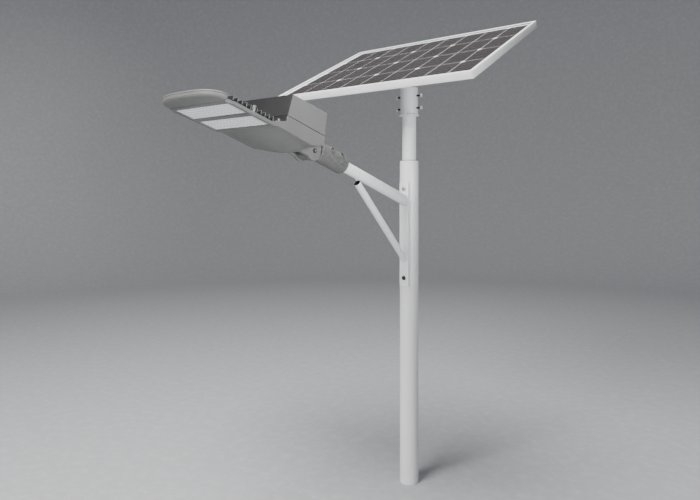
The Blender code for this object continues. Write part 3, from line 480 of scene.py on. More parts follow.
# finish and edge bevel of the CAD nodes that stay
DRESSED = {
    "mast_foot_bush": ("galvanised_steel", 0.0),
    "arm_back_plate": ("white_paint", 0.0011),
    "tilt_yoke": ("galvanised_steel", 0.0008),
    "frame_bar_lower": ("aluminium", 0.0005),
    "frame_bar_upper": ("aluminium", 0.0005),
    "frame_bar_left": ("aluminium", 0.0005),
    "frame_bar_right": ("aluminium", 0.0005),
    "cell_sheet": ("back_sheet", 0.0),
    "panel_glass": ("glass", 0.0),
    "panel_saddle": ("galvanised_steel", 0.0008),
    "support_rail_lower": ("galvanised_steel", 0.0006),
    "support_rail_upper": ("galvanised_steel", 0.0006),
    "junction_box": ("black_plastic", 0.0012),
    "junction_lid": ("black_plastic", 0.0008),
    "head_frame": ("head_paint", 0.0007),
    "cover_gasket": ("rubber", 0.0),
    "battery_pack": ("battery_wrap", 0.0015),
    "charge_controller": ("black_plastic", 0.0010),
    "led_board_front": ("circuit_board", 0.0),
    "led_board_rear": ("circuit_board", 0.0),
}


def lathe(profile):
    """A turned piece about Z from the closed outline of its section, as (radius, height) points."""
    rings = [circle(radius, height) for radius, height in profile]
    return skinned(rings, loop=True)


def tube_profile(outer, inner, low, high, soft):
    """A tube's section with its outer edges broken."""
    return [(outer - soft, low), (outer, low + soft), (outer, high - soft), (outer - soft, high),
            (inner, high), (inner, low)]


def arc(radius, start, end, steps, middle=(0.0, 0.0)):
    turns = [math.radians(start + (end - start) * i / steps) for i in range(steps + 1)]
    return [(middle[0] + radius * math.cos(a), middle[1] + radius * math.sin(a)) for a in turns]


def rounded_outline(x0, x1, y0, y1, radius, steps=6):
    """A rectangle with round corners, counter-clockwise."""
    right, back = x1 - radius, y1 - radius
    left, front = x0 + radius, y0 + radius
    outline = []
    for middle, start in (((right, front), -90.0), ((right, back), 0.0), ((left, back), 90.0),
                          ((left, front), 180.0)):
        outline += arc(radius, start, start + 90.0, steps, middle)
    return outline


def aim(start, direction):
    """A frame whose origin is the start point and whose Z runs along the direction."""
    turn = Vector((0.0, 0.0, 1.0)).rotation_difference(Vector(direction).normalized()).to_matrix().to_4x4()
    return Matrix.Translation(Vector(start)) @ turn


# -------- bolts and nuts

def hexagon_radius(angle, corner):
    """Distance from the middle to a hexagon's side in a direction."""
    turn = angle % (math.pi / 3.0) - math.pi / 6.0
    return corner * math.cos(math.pi / 6.0) / math.cos(turn)


def hex_ring(corner, height, limit):
    """A hexagon's outline, cut to a circle where it reaches past the limit."""
    ring = []
    for i in range(SMALL_ROUND):
        angle = 2.0 * math.pi * i / SMALL_ROUND
        radius = min(hexagon_radius(angle, corner), limit)
        ring.append(Vector((radius * math.cos(angle), radius * math.sin(angle), height)))
    return ring


def small_circle(radius, height):
    return circle(radius, height, SMALL_ROUND)


def thread_rings(radius, start, end, pitch):
    """Ridges of a screw thread as rings from start to end."""
    count = max(1, int(abs(end - start) / pitch))
    step = (end - start) / count
    rings = []
    for i in range(count):
        rings.append(small_circle(radius * 0.90, start + step * (i + 0.05)))
        rings.append(small_circle(radius, start + step * (i + 0.5)))
    rings.append(small_circle(radius * 0.88, end))
    return rings


def bolt_measures(node, place, axis):
    """Shank and head radius, head height, shank length and seat frame of a CAD bolt."""
    direction = Vector(axis).normalized()
    points = [Vector(p) for p in {tuple(round(c, 6) for c in p) for p in points_of(node, place)}]
    middle = sum(points, Vector()) / len(points)
    measured = []
    for p in points:
        along = (p - middle).dot(direction)
        measured.append((along, ((p - middle) - direction * along).length))
    head_radius = max(out for along, out in measured)
    first = min(along for along, out in measured)
    last = max(along for along, out in measured)
    seat = max(along for along, out in measured if out > 0.95 * head_radius)
    shank = max(out for along, out in measured if along > seat + 0.0001)
    return {"shank": shank, "head": head_radius, "height": seat - first, "length": last - seat,
            "frame": aim(middle + direction * seat, direction)}


HEAD_UNDERSIDE = 0.0002          # faces below this height belong to a bolt's head


def hex_bolt(node, place, body, axis, slot, washer=True, head_painted_light=None):
    """A hexagon bolt with a chamfered head, a washer and a threaded shank, in place of the CAD bolt."""
    m = bolt_measures(node, place, axis)
    corner = m["head"]
    height = m["height"]
    washer_height = 0.25 * m["shank"] if washer else 0.0
    top = -height
    foot = -washer_height - 0.08 * height
    rings = [small_circle(0.001 * corner, top), small_circle(0.80 * corner, top),
             hex_ring(corner, top + 0.1 * height, 0.93 * corner),
             hex_ring(corner, top + 0.22 * height, corner), hex_ring(corner, foot, corner),
             small_circle(0.85 * corner, -washer_height)]
    if washer:
        wide = 1.12 * corner
        rings += [small_circle(wide - 0.0003, -washer_height), small_circle(wide, -0.6 * washer_height),
                  small_circle(wide, -0.0001), small_circle(m["shank"], -0.0001)]
    rings += thread_rings(m["shank"], 0.0, m["length"], 0.3 * m["shank"])
    mesh = skinned(rings)
    # a head finish apart from the shank's paints light or shade on one bolt
    two_tone(mesh, slot, head_painted_light or slot, lambda at, normal: at.z < HEAD_UNDERSIDE)
    piece(node + "_turned", mesh, place @ m["frame"], body, slot, (node,))


def socket_screw(node, place, body, axis, slot, dome=0.15):
    """A round-headed socket screw in place of the CAD screw."""
    m = bolt_measures(node, place, axis)
    head = m["head"]
    height = m["height"]
    key = 0.5 * head
    rings = [hex_ring(0.2 * key, -0.35 * height, key), hex_ring(key, -0.4 * height, key),
             hex_ring(key, -0.97 * height, key), small_circle(1.15 * key, -height),
             small_circle((1.0 - dome) * head, -height), small_circle(head, -0.85 * height),
             small_circle(head, -0.0001), small_circle(m["shank"], 0.0)]
    rings += thread_rings(m["shank"], 0.0002, m["length"], 0.35 * m["shank"])
    mesh = skinned(rings)
    piece(node + "_turned", mesh, place @ m["frame"], body, slot, (node,))


def hex_nut(node, place, body, axis, slot):
    """A chamfered hexagon nut in place of the CAD nut."""
    low, high = extent(node, place)
    direction = Vector(axis)
    half = 0.5 * abs((high - low).dot(direction))
    corner = 0.5 * max(high - low)
    hole = 0.56 * corner
    rings = [small_circle(hole, half), small_circle(1.12 * hole, half),
             hex_ring(corner, 0.85 * half, 0.94 * corner), hex_ring(corner, 0.7 * half, corner),
             hex_ring(corner, -0.7 * half, corner), hex_ring(corner, -0.85 * half, 0.94 * corner),
             small_circle(1.12 * hole, -half), small_circle(hole, -half)]
    mesh = skinned(rings, loop=True)
    piece(node + "_turned", mesh, place @ aim((low + high) / 2.0, direction), body, slot, (node,))


# -------- pole, mast, plate and arm

GAP = 0.0003                     # clearance between pieces that touch
MAST_WALL = 0.0025
SEAL_HEIGHT = 0.0016


def build_pole():
    """The pole, the mast and a ring whose dark lip covers the pole's top edge."""
    low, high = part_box("pole_tube")
    outer = high.x
    bush_low, bush_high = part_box("mast_top_bush")
    mast_low, mast_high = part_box("mast_tube")
    mast = mast_high.x
    shaft = tube_profile(outer, bush_high.x + GAP, low.z, high.z, 0.0012)
    piece("pole_shaft", lathe(shaft), WORLD, "pole", "white_paint", ("pole_tube",))
    shaft = tube_profile(mast, mast - MAST_WALL, mast_low.z, mast_high.z, 0.0008)
    piece("mast_shaft", lathe(shaft), WORLD, "pole", "white_paint", ("mast_tube",))
    top = bush_high.z
    ring = [(bush_high.x, bush_low.z), (bush_high.x, top + 0.0002), (outer - 0.0006, top + 0.0002),
            (outer - 0.0002, top + 0.0008), (outer - 0.0008, top + SEAL_HEIGHT),
            (mast + GAP, top + SEAL_HEIGHT + 0.0004), (mast + GAP, bush_low.z)]
    piece("mast_ring", lathe(ring), WORLD, "pole", "white_paint", ("mast_top_bush",), finish="rubber")


def slanted_tube(start, end, outer_start, outer_end, wall, foot_y):
    """A tube with a soft tip, trimmed at its foot to the plane y = foot_y, and its foot's outline."""
    axis = (end - start).normalized()
    turn = Vector((0.0, 0.0, 1.0)).rotation_difference(axis).to_matrix()

    def foot(radius):
        ring = [start + turn @ p for p in circle(radius, 0.0)]
        return [p + axis * ((foot_y - p.y) / axis.y) for p in ring]

    def tip(radius, back):
        return [end - axis * back + turn @ p for p in circle(radius, 0.0)]

    soft = 0.0006
    inner_end = outer_end - wall
    rings = [foot(outer_start), tip(outer_end, soft), tip(outer_end - soft, 0.0),
             tip(inner_end + soft, 0.0), tip(inner_end, soft), foot(outer_start - wall)]
    return skinned(rings, loop=True), foot(outer_start)


BEAD_SIDES = 10
WELD_ANGLE = math.radians(60.0)
BRACE_WELD_LENGTH = 0.024


def bead_ring(point, ahead, towards, radius):
    """One ring of a weld bead, square to the path's direction."""
    side = ahead.cross(Vector(towards)).normalized()
    out = side.cross(ahead)
    turns = (2.0 * math.pi * k / BEAD_SIDES for k in range(BEAD_SIDES))
    return [point + (side * math.cos(a) + out * math.sin(a)) * radius for a in turns]


def bead(path, radius):
    """A rippled weld bead along a closed path."""
    rings = []
    for i, point in enumerate(path):
        ahead = (path[(i + 1) % len(path)] - path[i - 1]).normalized()
        swell = radius * (1.0 + 0.14 * math.sin(i * 2.4) + 0.10 * noise.noise(point * 160.0))
        rings.append(bead_ring(point, ahead, (0.0, -1.0, 0.0), swell))
    return skinned(rings, loop=True)


def open_bead(line, radius):
    """A rippled weld bead along a line, with tapered ends."""
    rings = []
    for i, point in enumerate(line):
        ahead = (line[min(i + 1, len(line) - 1)] - line[max(i - 1, 0)]).normalized()
        taper = math.sin(math.pi * (i + 0.6) / (len(line) + 0.2)) ** 0.4
        swell = radius * taper * (1.0 + 0.15 * math.sin(i * 2.1))
        rings.append(bead_ring(point, ahead, (0.0, 0.3, -1.0), swell))
    return skinned(rings)


def closed_path(ring, step):
    """A ring's points resampled at an even step."""
    lengths = [(ring[(i + 1) % len(ring)] - ring[i]).length for i in range(len(ring))]
    total = sum(lengths)
    count = int(total / step)
    points = []
    i = 0
    done = 0.0
    for k in range(count):
        target = total * k / count
        while done + lengths[i] < target:
            done += lengths[i]
            i += 1
        points.append(ring[i].lerp(ring[(i + 1) % len(ring)], (target - done) / lengths[i]))
    return points


def tube_ends(node):
    """A CAD tube's foot and tip centres, its radii there and its foot plane."""
    points = [v.co.copy() for v in frame["nodes"][node].data.vertices]
    plane = max(p.y for p in points)
    feet = [p for p in points if p.y > plane - 0.0005]
    tips = [p for p in points if p.y <= plane - 0.0005]
    low_z = min(p.z for p in feet)
    high_z = max(p.z for p in feet)
    foot = Vector((0.0, plane, 0.5 * (low_z + high_z)))
    tip = sum(tips, Vector()) / len(tips)
    return foot, tip, max(abs(p.x) for p in feet), max(abs(p.x) for p in tips), plane


def build_tube(node, wall, bead_radius):
    """A painted tube whose bore is painted shade in black, and the weld round its foot."""
    foot, tip, foot_radius, tip_radius, plane = tube_ends(node)
    mesh, root = slanted_tube(foot, tip, foot_radius, tip_radius, wall, plane)
    axis = (tip - foot).normalized()

    # faces inside the tube, which get painted shade
    def inside(at, normal):
        out = at - foot
        out -= axis * out.dot(axis)
        return normal.dot(out) < 0.0 and out.length < tip_radius - 0.5 * wall

    two_tone(mesh, "white_paint", "black_plastic", inside)
    piece(node + "_drawn", mesh, WORLD, "pole", "white_paint", (node,))
    path = closed_path([p + Vector((0.0, -0.0006, 0.0)) for p in root], 0.0022)
    piece(node + "_weld", bead(path, bead_radius), WORLD, "pole", "white_paint", sharp=WELD_ANGLE)


def build_arm():
    """The arm, its brace and the two short welds between them."""
    build_tube("arm_tube", 0.0025, 0.0024)
    build_tube("brace_tube", 0.0020, 0.0020)
    tip = tube_ends("brace_tube")[1]
    arm_foot, arm_tip, arm_radius, arm_tip_radius = tube_ends("arm_tube")[:4]
    along = (arm_tip - arm_foot).normalized()
    up = along.cross(Vector((1.0, 0.0, 0.0))).normalized()
    up = up if up.z > 0.0 else -up
    near = arm_foot + along * (tip - arm_foot).dot(along)
    share = (near - arm_foot).length / (arm_tip - arm_foot).length
    radius = arm_radius + (arm_tip_radius - arm_radius) * share
    for side, name in ((-1.0, "brace_weld_left"), (1.0, "brace_weld_right")):
        line = []
        for i in range(13):
            angle = side * math.radians(10.0 + 14.0 * math.sin(math.pi * i / 12.0))
            offset = along * (BRACE_WELD_LENGTH * (i / 12.0 - 0.62))
            out = Vector((math.sin(angle), 0.0, 0.0)) - up * math.cos(angle)
            line.append(near + offset + out * (radius + 0.0002))
        piece(name, open_bead(line, 0.0017), WORLD, "pole", "white_paint", sharp=WELD_ANGLE)


def build_plate_bolts():
    # the upper head's bright steel and the lower head's dark steel are painted light and shade on two like bolts
    for side, head_painted_light in (("upper", "bright_steel"), ("lower", "dark_steel")):
        hex_bolt(f"arm_bolt_{side}", WORLD, "pole", (0.0, 1.0, 0.0), "dark_steel", head_painted_light=head_painted_light)


# -------- castings and cuts

PIN_SIDES = 48
CAST_ANGLE = math.radians(55.0)


def joined(meshes):
    """Several closed bodies as one mesh."""
    form = bmesh.new()
    for mesh in meshes:
        form.from_mesh(mesh)
    return mesh_of(form)


def machined(mesh, cutters, voxel=0.0, passes=0):
    """The mesh after its overlapping bodies are fused and softened, then cut by the cutters."""
    source = link("pattern", mesh, WORLD)
    helpers = [source]
    if voxel > 0.0:
        fuse = source.modifiers.new("fuse", "REMESH")
        fuse.mode = "VOXEL"
        fuse.voxel_size = voxel
        soften = source.modifiers.new("soften", "SMOOTH")
        soften.factor = 0.5
        soften.iterations = passes
    for cutter in cutters:
        helper = link("cutter", cutter, WORLD)
        helpers.append(helper)
        cut = source.modifiers.new("cut", "BOOLEAN")
        cut.operation = "DIFFERENCE"
        cut.solver = "MANIFOLD"
        cut.object = helper
    bpy.context.view_layer.update()
    graph = bpy.context.evaluated_depsgraph_get()
    result = bpy.data.meshes.new_from_object(source.evaluated_get(graph))
    result.materials.clear()
    for helper in helpers:
        bpy.data.objects.remove(helper)
    return result


def box_rings(low, high):
    """A box's lower and upper corners."""
    x0, y0, z0 = low
    x1, y1, z1 = high
    corners = ((x0, y0), (x1, y0), (x1, y1), (x0, y1))
    return [[Vector((x, y, z)) for x, y in corners] for z in (z0, z1)]


def pin(start, direction, length, radius):
    place = aim(start, direction)
    return skinned([[place @ p for p in circle(radius, height, PIN_SIDES)] for height in (0.0, length)])


def plate(outline, x0, x1):
    """A (y, z) outline swept across X."""
    return skinned([[Vector((x, y, z)) for y, z in outline] for x in (x0, x1)])


def interpolate(table, position):
    """A value read from (position, value) pairs along straight lines."""
    for (a, value_a), (b, value_b) in zip(table, table[1:]):
        if position <= b:
            share = max(0.0, (position - a) / (b - a))
            return value_a + (value_b - value_a) * share
    return table[-1][1]


# -------- collar, yoke and panel

COLLAR_LIP = 0.0028
SLIT_ARC = math.radians(26.0)
SLIT_HEIGHT = 0.0034
SLIT_AZIMUTH = CAMERA_AZIMUTH + math.radians(6.0)


def build_collar():
    """The slit collar on the mast, its clamping bolts and the panel's tilt bolt."""
    low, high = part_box("panel_collar")
    points = points_of("panel_collar", WORLD)
    bore = min(math.hypot(p.x, p.y) for p in points)
    body = max(math.hypot(p.x, p.y) for p in points if p.z > high.z - 0.001)
    lip = high.x
    z = low.z
    lip_top = z + COLLAR_LIP
    profile = [(lip - 0.0006, z), (lip, z + 0.0006), (lip, lip_top - 0.0006), (lip - 0.0006, lip_top),
               (body + 0.0014, lip_top + 0.0003), (body + 0.0004, lip_top + 0.0010),
               (body, lip_top + 0.0022), (body, high.z - 0.0010), (body - 0.0010, high.z),
               (bore, high.z), (bore, z)]
    half = body * math.sin(SLIT_ARC)
    foot = lip_top + 0.0008
    slit = skinned(box_rings((-half, -body - 0.010, foot), (half, -0.9 * bore, foot + SLIT_HEIGHT)))
    slit.transform(Matrix.Rotation(SLIT_AZIMUTH, 4, "Z"))
    mesh = machined(lathe(profile), [slit])

    # the walls of the slit get painted shade in black
    def slit_shade_mask(at, normal):
        above_lip = lip_top < at.z < lip_top + 2.0 * SLIT_HEIGHT
        return above_lip and bore + GAP < math.hypot(at.x, at.y) < body - GAP

    two_tone(mesh, "white_paint", "black_plastic", slit_shade_mask)
    piece("collar_sleeve", mesh, WORLD, "collar", "white_paint", ("panel_collar",))
    # bright aluminium heads over dark steel shanks paint light on the heads and shade on the shanks
    for number in range(1, 5):
        node = f"collar_bolt_{number}"
        side = math.copysign(1.0, centre(node).x)
        hex_bolt(node, WORLD, "collar", (-side, 0.0, 0.0), "dark_steel",
                 washer=False, head_painted_light="aluminium")
    hex_bolt("tilt_bolt", WORLD, "collar", (-1.0, 0.0, 0.0), "bright_steel")
    hex_nut("tilt_nut", WORLD, "collar", (-1.0, 0.0, 0.0), "bright_steel")


CELL_COLUMNS = 9
CELL_ROWS = 4
CELL_PITCH_X = 0.0857
CELL_PITCH_Y = 0.1467
CELL_GAP = 0.0018
CELL_CHAMFER = 0.0095
CELL_AREA_SHIFT = (0.0067, -0.0065)
CELL_HEIGHT = 0.00008
CELL_LIFT = 0.00003              # gap that keeps the cells clear of their sheet
RIBBON_HEIGHT = 0.00010
RIBBONS_PER_CELL = 5
RIBBON_WIDTH = 0.0009
RIBBON_END = 0.004               # distance from a ribbon's end to the first cell's edge


def cell_outline(column, row):
    """Half of a wafer: only the wafer's own corners are cut off."""
    x0 = column * CELL_PITCH_X + 0.5 * CELL_GAP
    x1 = (column + 1) * CELL_PITCH_X - 0.5 * CELL_GAP
    y0 = row * CELL_PITCH_Y + 0.5 * CELL_GAP
    y1 = (row + 1) * CELL_PITCH_Y - 0.5 * CELL_GAP
    c = CELL_CHAMFER
    if column % 2 == 0:
        return [(x0 + c, y0), (x1, y0), (x1, y1), (x0 + c, y1), (x0, y1 - c), (x0, y0 + c)]
    return [(x0, y0), (x1 - c, y0), (x1, y0 + c), (x1, y1 - c), (x1 - c, y1), (x0, y1)]


def build_cells():
    left, right = extent("frame_bar_left", PANEL)[0], extent("frame_bar_right", PANEL)[1]
    high = extent("cell_sheet", PANEL)[1]
    middle_x = 0.5 * (left.x + right.x) + CELL_AREA_SHIFT[0]
    middle_y = 0.5 * (left.y + right.y) + CELL_AREA_SHIFT[1]
    length = CELL_COLUMNS * CELL_PITCH_X
    corner = Vector((middle_x - 0.5 * length, middle_y - 0.5 * CELL_ROWS * CELL_PITCH_Y, high.z))
    place = PANEL @ Matrix.Translation(corner)
    top = CELL_LIFT + CELL_HEIGHT

    def wafers(form):
        for column in range(CELL_COLUMNS):
            for row in range(CELL_ROWS):
                outline = cell_outline(column, row)
                skin(form, [[Vector((x, y, z)) for x, y in outline] for z in (CELL_LIFT, top)])

    piece("wafers", mesh_from(wafers), place, "panel", "solar_cells",
          finish=cell_material(CELL_PITCH_X, CELL_PITCH_Y))

    def ribbons(form):
        for row in range(CELL_ROWS):
            for i in range(RIBBONS_PER_CELL):
                y = (row + (i + 0.5) / RIBBONS_PER_CELL) * CELL_PITCH_Y
                first = (RIBBON_END, y - 0.5 * RIBBON_WIDTH, top)
                last = (length - RIBBON_END, y + 0.5 * RIBBON_WIDTH, top + RIBBON_HEIGHT)
                skin(form, box_rings(first, last))

    piece("ribbons", mesh_from(ribbons), place, "panel", "solar_cells", finish=MATERIALS["ribbon"])


def build_panel():
    build_cells()
    up = (0.0, 0.0, 1.0)
    for number in range(1, 5):
        hex_bolt(f"saddle_bolt_{number}", PANEL, "panel", up, "bright_steel")
        hex_bolt(f"frame_bolt_{number}", PANEL, "panel", up, "bright_steel")


# -------- spigot clamp

CLAMP_VOXEL = 0.0009
TONGUE_HALF = 0.0165
SHOULDER = 0.0387                # from the pivot to the sleeve's shoulder
BORE_DEPTH = 0.034
BOSS_LEAN = math.radians(8.0)


def around_y(profile):
    """A turned body about the Y axis from (radius, y) points."""
    rings = [[Vector((p.x, y, p.y)) for p in circle(radius, 0.0)] for radius, y in profile]
    return skinned(rings, loop=True)


def build_clamp():
    """The cast sleeve on the arm's tip, its tongue and the bosses of its two bolts."""
    low, high = extent("spigot_clamp", ARM)
    points = points_of("spigot_clamp", ARM)
    mouth = high.y
    body = -low.x
    bore = min(math.hypot(p.x, p.z) for p in points if p.y > mouth - 0.001)
    pivot = ARM.inverted() @ HEAD.translation
    shoulder = pivot.y + SHOULDER
    bore_end = shoulder + BORE_DEPTH
    profile = [(bore + 0.0012, mouth), (body - 0.0030, mouth), (body - 0.0006, mouth - 0.0030),
               (body, mouth - 0.0080), (body, shoulder + 0.0040), (body - 0.0015, shoulder + 0.0008),
               (body - 0.0040, shoulder), (0.002, shoulder), (0.002, bore_end), (bore, bore_end),
               (bore, mouth - 0.0012)]
    tongue = arc(pivot.y - low.y, 115.0, 255.0, 24, (pivot.y, pivot.z))
    tongue += [(shoulder + 0.012, -body + 0.002), (shoulder + 0.012, body - 0.011)]
    bodies = [around_y(profile), plate(tongue, -TONGUE_HALF, TONGUE_HALF)]
    cutters = []
    lean = clamp_lean()
    side = Vector((math.cos(BOSS_LEAN), 0.0, -math.sin(BOSS_LEAN)))
    for number in (1, 2):
        seat = bolt_measures(f"clamp_bolt_{number}", ARM, -lean)["frame"].translation
        bodies.append(pin(seat - lean * 0.006, lean, 0.0105, 0.0108))
        cutters.append(pin(seat - lean * 0.0004, lean, 0.02, 0.0078))
        root = Vector((0.0, seat.y + 0.004, 0.0)) + side * (body - 0.004)
        bodies.append(pin(root, side, 0.0052, 0.0085))
    mesh = machined(joined(bodies), cutters, CLAMP_VOXEL, 3)
    piece("clamp_casting", mesh, ARM, "clamp", "head_paint", ("spigot_clamp",), finish="cast_paint",
          sharp=CAST_ANGLE)
    for number in (1, 2):
        socket_screw(f"clamp_bolt_{number}", ARM, "clamp", -lean, "dark_steel")


def clamp_lean():
    """Direction that the clamp's bolts stand out in, square to the arm."""
    local = ARM.inverted() @ centre("clamp_bolt_1")
    return Vector((local.x, 0.0, local.z)).normalized()


# -------- lamp head

HOUSING_VOXEL = 0.0014
POST_RADIUS = 0.0045
POST_Y = -0.2420
POST_FOOT = -0.0200
HEAD_WALL = 0.0030
EAR_INNER = 0.0175
EAR_OUTER = 0.0310
HEAD_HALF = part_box("battery_cover")[1].x
BELLY_ROWS = 74
BELLY_COLUMNS = 56
LEDGE_DROP = 0.0030
SIDE_FOOT = ((-0.2527, -0.0243), (-0.2450, -0.0208), (-0.2200, -0.0205), (-0.1554, -0.0225),
             (-0.1080, -0.0240), (-0.0850, -0.0195), (-0.0610, -0.0105), (-0.0550, -0.0090))
BELLY_HALF = ((-0.2527, 0.0960), (-0.1500, 0.0930), (-0.1050, 0.0800), (-0.0550, 0.0480))
BELLY_DEPTH = ((-0.2527, 0.0000), (-0.2450, 0.0035), (-0.2250, 0.0100), (-0.2000, 0.0135), (-0.1700, 0.0145),
               (-0.1300, 0.0135), (-0.0900, 0.0120), (-0.0550, 0.0110))


def underside(x, y):
    """Height of the casting's underside: a side foot, a narrow ledge and the swollen belly."""
    half = interpolate(BELLY_HALF, y)
    foot = interpolate(SIDE_FOOT, y)
    far = abs(x)
    ledge = LEDGE_DROP * min(1.0, (y + 0.2527) / 0.02)
    if far >= half:
        return foot - ledge * (HEAD_HALF - far) / (HEAD_HALF - half)
    share = far / half
    return foot - ledge - interpolate(BELLY_DEPTH, y) * (1.0 - share ** 2.0)


def build_housing():
    """The rear casting: belly and apron, two ears, two posts and the hollow for the battery."""
    low, high = extent("head_housing", HEAD)
    half = high.x
    cover_low, cover_high = extent("battery_cover", HEAD)
    front = low.y
    rear = cover_high.y
    step = cover_low.y
    parting = cover_low.z - 0.0016
    apron = ((front, -0.0093), (step, 0.0027))
    rows = [front + (rear - front) * i / BELLY_ROWS for i in range(BELLY_ROWS + 1)]
    rows = sorted([y for y in rows if abs(y - step) > 0.0012] + [step - 0.0001, step + 0.0001])
    rings = []
    for y in rows:
        top = parting if y > step else interpolate(apron, y)
        ring = []
        for i in range(BELLY_COLUMNS + 1):
            x = half * (2.0 * i / BELLY_COLUMNS - 1.0)
            ring.append(Vector((x, y, underside(x, y))))
        rings.append(ring + [Vector((half, y, top)), Vector((-half, y, top))])
    bodies = [skinned(rings)]
    ear = arc(high.y, 100.0, -130.0, 40) + [(-0.074, -0.0200), (-0.100, -0.0093), (-0.060, 0.0147)]
    bodies += [plate(ear, EAR_INNER, EAR_OUTER), plate(ear, -EAR_OUTER, -EAR_INNER)]
    post_top = max(p.z for p in points_of("head_housing", HEAD)
                   if abs(p.y - POST_Y) < POST_RADIUS and abs(p.x) > half - 2.2 * POST_RADIUS)
    for side in (-1.0, 1.0):
        foot = (side * (half - POST_RADIUS - 0.0006), POST_Y, POST_FOOT)
        bodies.append(pin(foot, (0.0, 0.0, 1.0), post_top - POST_FOOT, POST_RADIUS))
    tray = skinned(box_rings((-half + HEAD_WALL, step + HEAD_WALL, -0.0040),
                             (half - HEAD_WALL, rear - HEAD_WALL, parting + 0.01)))
    hole = pin((-0.05, 0.0, 0.0), (1.0, 0.0, 0.0), 0.10, 0.0054)
    mesh = machined(joined(bodies), [tray, hole], HOUSING_VOXEL, 3)

    # faces of the apron ahead of the battery box get painted shade
    def apron_shade_mask(at, normal):
        ahead = at.y < step + 0.0012 and at.z > -0.0085
        return ahead and abs(normal.x) < 0.5 and normal.z > -0.3

    two_tone(mesh, "head_paint", "painted_shade", apron_shade_mask)
    piece("rear_casting", mesh, HEAD, "head", "head_paint", ("head_housing",), sharp=CAST_ANGLE)


COVER_CORNER = 0.0045
COVER_EDGE = 0.0035
COVER_SKIRT = 0.0068
COVER_SKIRT_STEP = 0.0012


def build_cover():
    """The battery box: leaning walls with round corners above a short skirt, open underneath."""
    points = points_of("battery_cover", HEAD)
    low, high = extent("battery_cover", HEAD)
    foot = [p for p in points if p.z < low.z + 0.0005]
    front_top = min(p.y for p in points if p.z > high.z - 0.012)
    half_top = max(p.x for p in points if p.z > high.z - 0.0005)
    front_height = max(p.z for p in points if p.y < front_top + 0.0005 and p.z > high.z - 0.012)
    half_low = max(p.x for p in foot)

    def ring(share, inset, drop=0.0):
        half = half_low + (half_top - half_low) * share - inset
        front = low.y + (front_top - low.y) * share + inset
        rear = high.y - inset
        made = []
        for x, y in rounded_outline(-half, half, front, rear, max(0.0006, COVER_CORNER - inset)):
            along = (high.y - y) / (high.y - front_top)
            top = high.z - (high.z - front_height) * along
            made.append(Vector((x, y, low.z + (top - low.z) * share - drop)))
        return made

    skirt = COVER_SKIRT / (high.z - low.z)
    rings = [ring(0.0, 0.0003), ring(0.0, 0.0, -0.0004), ring(skirt, 0.0, 0.0004),
             ring(skirt, 0.0003), ring(skirt, COVER_SKIRT_STEP, -0.0002)]
    for i in range(7):
        angle = 0.5 * math.pi * i / 6
        inset = COVER_SKIRT_STEP + COVER_EDGE * (1.0 - math.cos(angle))
        rings.append(ring(1.0, inset, COVER_EDGE * (1.0 - math.sin(angle))))
    roof = len(rings) - 1
    rings += [ring(1.0, COVER_EDGE + HEAD_WALL, HEAD_WALL), ring(0.95, COVER_SKIRT_STEP + HEAD_WALL),
              ring(0.0, HEAD_WALL)]

    def build(form):
        rows = [[form.verts.new(p) for p in r] for r in rings]
        count = len(rows[0])
        for a, b in [(i, i + 1) for i in range(len(rows) - 1) if i != roof] + [(len(rows) - 1, 0)]:
            for i in range(count):
                j = (i + 1) % count
                form.faces.new((rows[a][i], rows[a][j], rows[b][j], rows[b][i]))
        form.faces.new(rows[roof])
        form.faces.new(reversed(rows[roof + 1]))

    # the box's front wall and the skirt's front get painted shade
    def front_shade_mask(at, normal):
        wall_ahead = normal.y < -0.6 and at.y < low.y + 0.02
        return wall_ahead or abs(normal.x) < 0.5 and at.y < low.y + 2.0 * COVER_SKIRT_STEP

    mesh = mesh_from(build)
    two_tone(mesh, "head_paint", "painted_shade", front_shade_mask)
    piece("battery_box", mesh, HEAD, "head", "head_paint", ("battery_cover",))
    for number in range(1, 5):
        socket_screw(f"cover_screw_{number}", HEAD, "head", (0.0, 0.0, -1.0), "bright_steel", dome=0.3)


LENS_COLUMNS = 16
LENS_ROWS = 5
LENS_RADIUS = 0.0052
LENS_RISE = 0.0011
LENS_CORNER = 0.0030
DOME_RINGS = 6


def lens_mesh(low, high):
    """A clear plate with a rim and a field of low domes on its underside."""
    form = bmesh.new()
    rings = []
    for inset, z in ((0.0004, low.z), (0.0, low.z + 0.0004), (0.0, high.z)):
        outline = rounded_outline(low.x + inset, high.x - inset, low.y + inset, high.y - inset,
                                  LENS_CORNER - inset)
        rings.append([Vector((x, y, z)) for x, y in outline])
    skin(form, rings)
    pitch_x = (high.x - low.x) / LENS_COLUMNS
    pitch_y = (high.y - low.y) / LENS_ROWS
    for column in range(LENS_COLUMNS):
        for row in range(LENS_ROWS):
            x = low.x + pitch_x * (column + 0.5)
            y = low.y + pitch_y * (row + 0.5)
            dome = []
            for i in range(DOME_RINGS):
                angle = 0.5 * math.pi * i / DOME_RINGS
                radius = LENS_RADIUS * math.cos(angle)
                z = low.z + 0.0001 - (LENS_RISE + 0.0001) * math.sin(angle)
                dome.append([Vector((x, y, 0.0)) + p for p in circle(radius, z, 24)])
            skin(form, [[p + Vector((0.0, 0.0, 0.0004)) for p in dome[0]]] + dome)
    bmesh.ops.recalc_face_normals(form, faces=form.faces)
    return mesh_of(form)


def build_modules():
    """Both lamp modules: a lens plate below and fins above."""
    for name in ("front", "rear"):
        low, high = extent(f"lens_plate_{name}", HEAD)
        middle = (low + high) / 2.0
        shift = Vector((middle.x, middle.y, 0.0))
        place = HEAD @ Matrix.Translation(shift)
        piece(f"lens_field_{name}", lens_mesh(low - shift, high - shift), place, "head", "lens_plastic",
              (f"lens_plate_{name}",))
        build_fins(name)


FIN_BASE = 0.0026
FIN_CREST = 0.0020
DECK_THICKNESS = 0.0018
BOARD_SPACE = 0.0060             # from the lens plate's underside to the deck


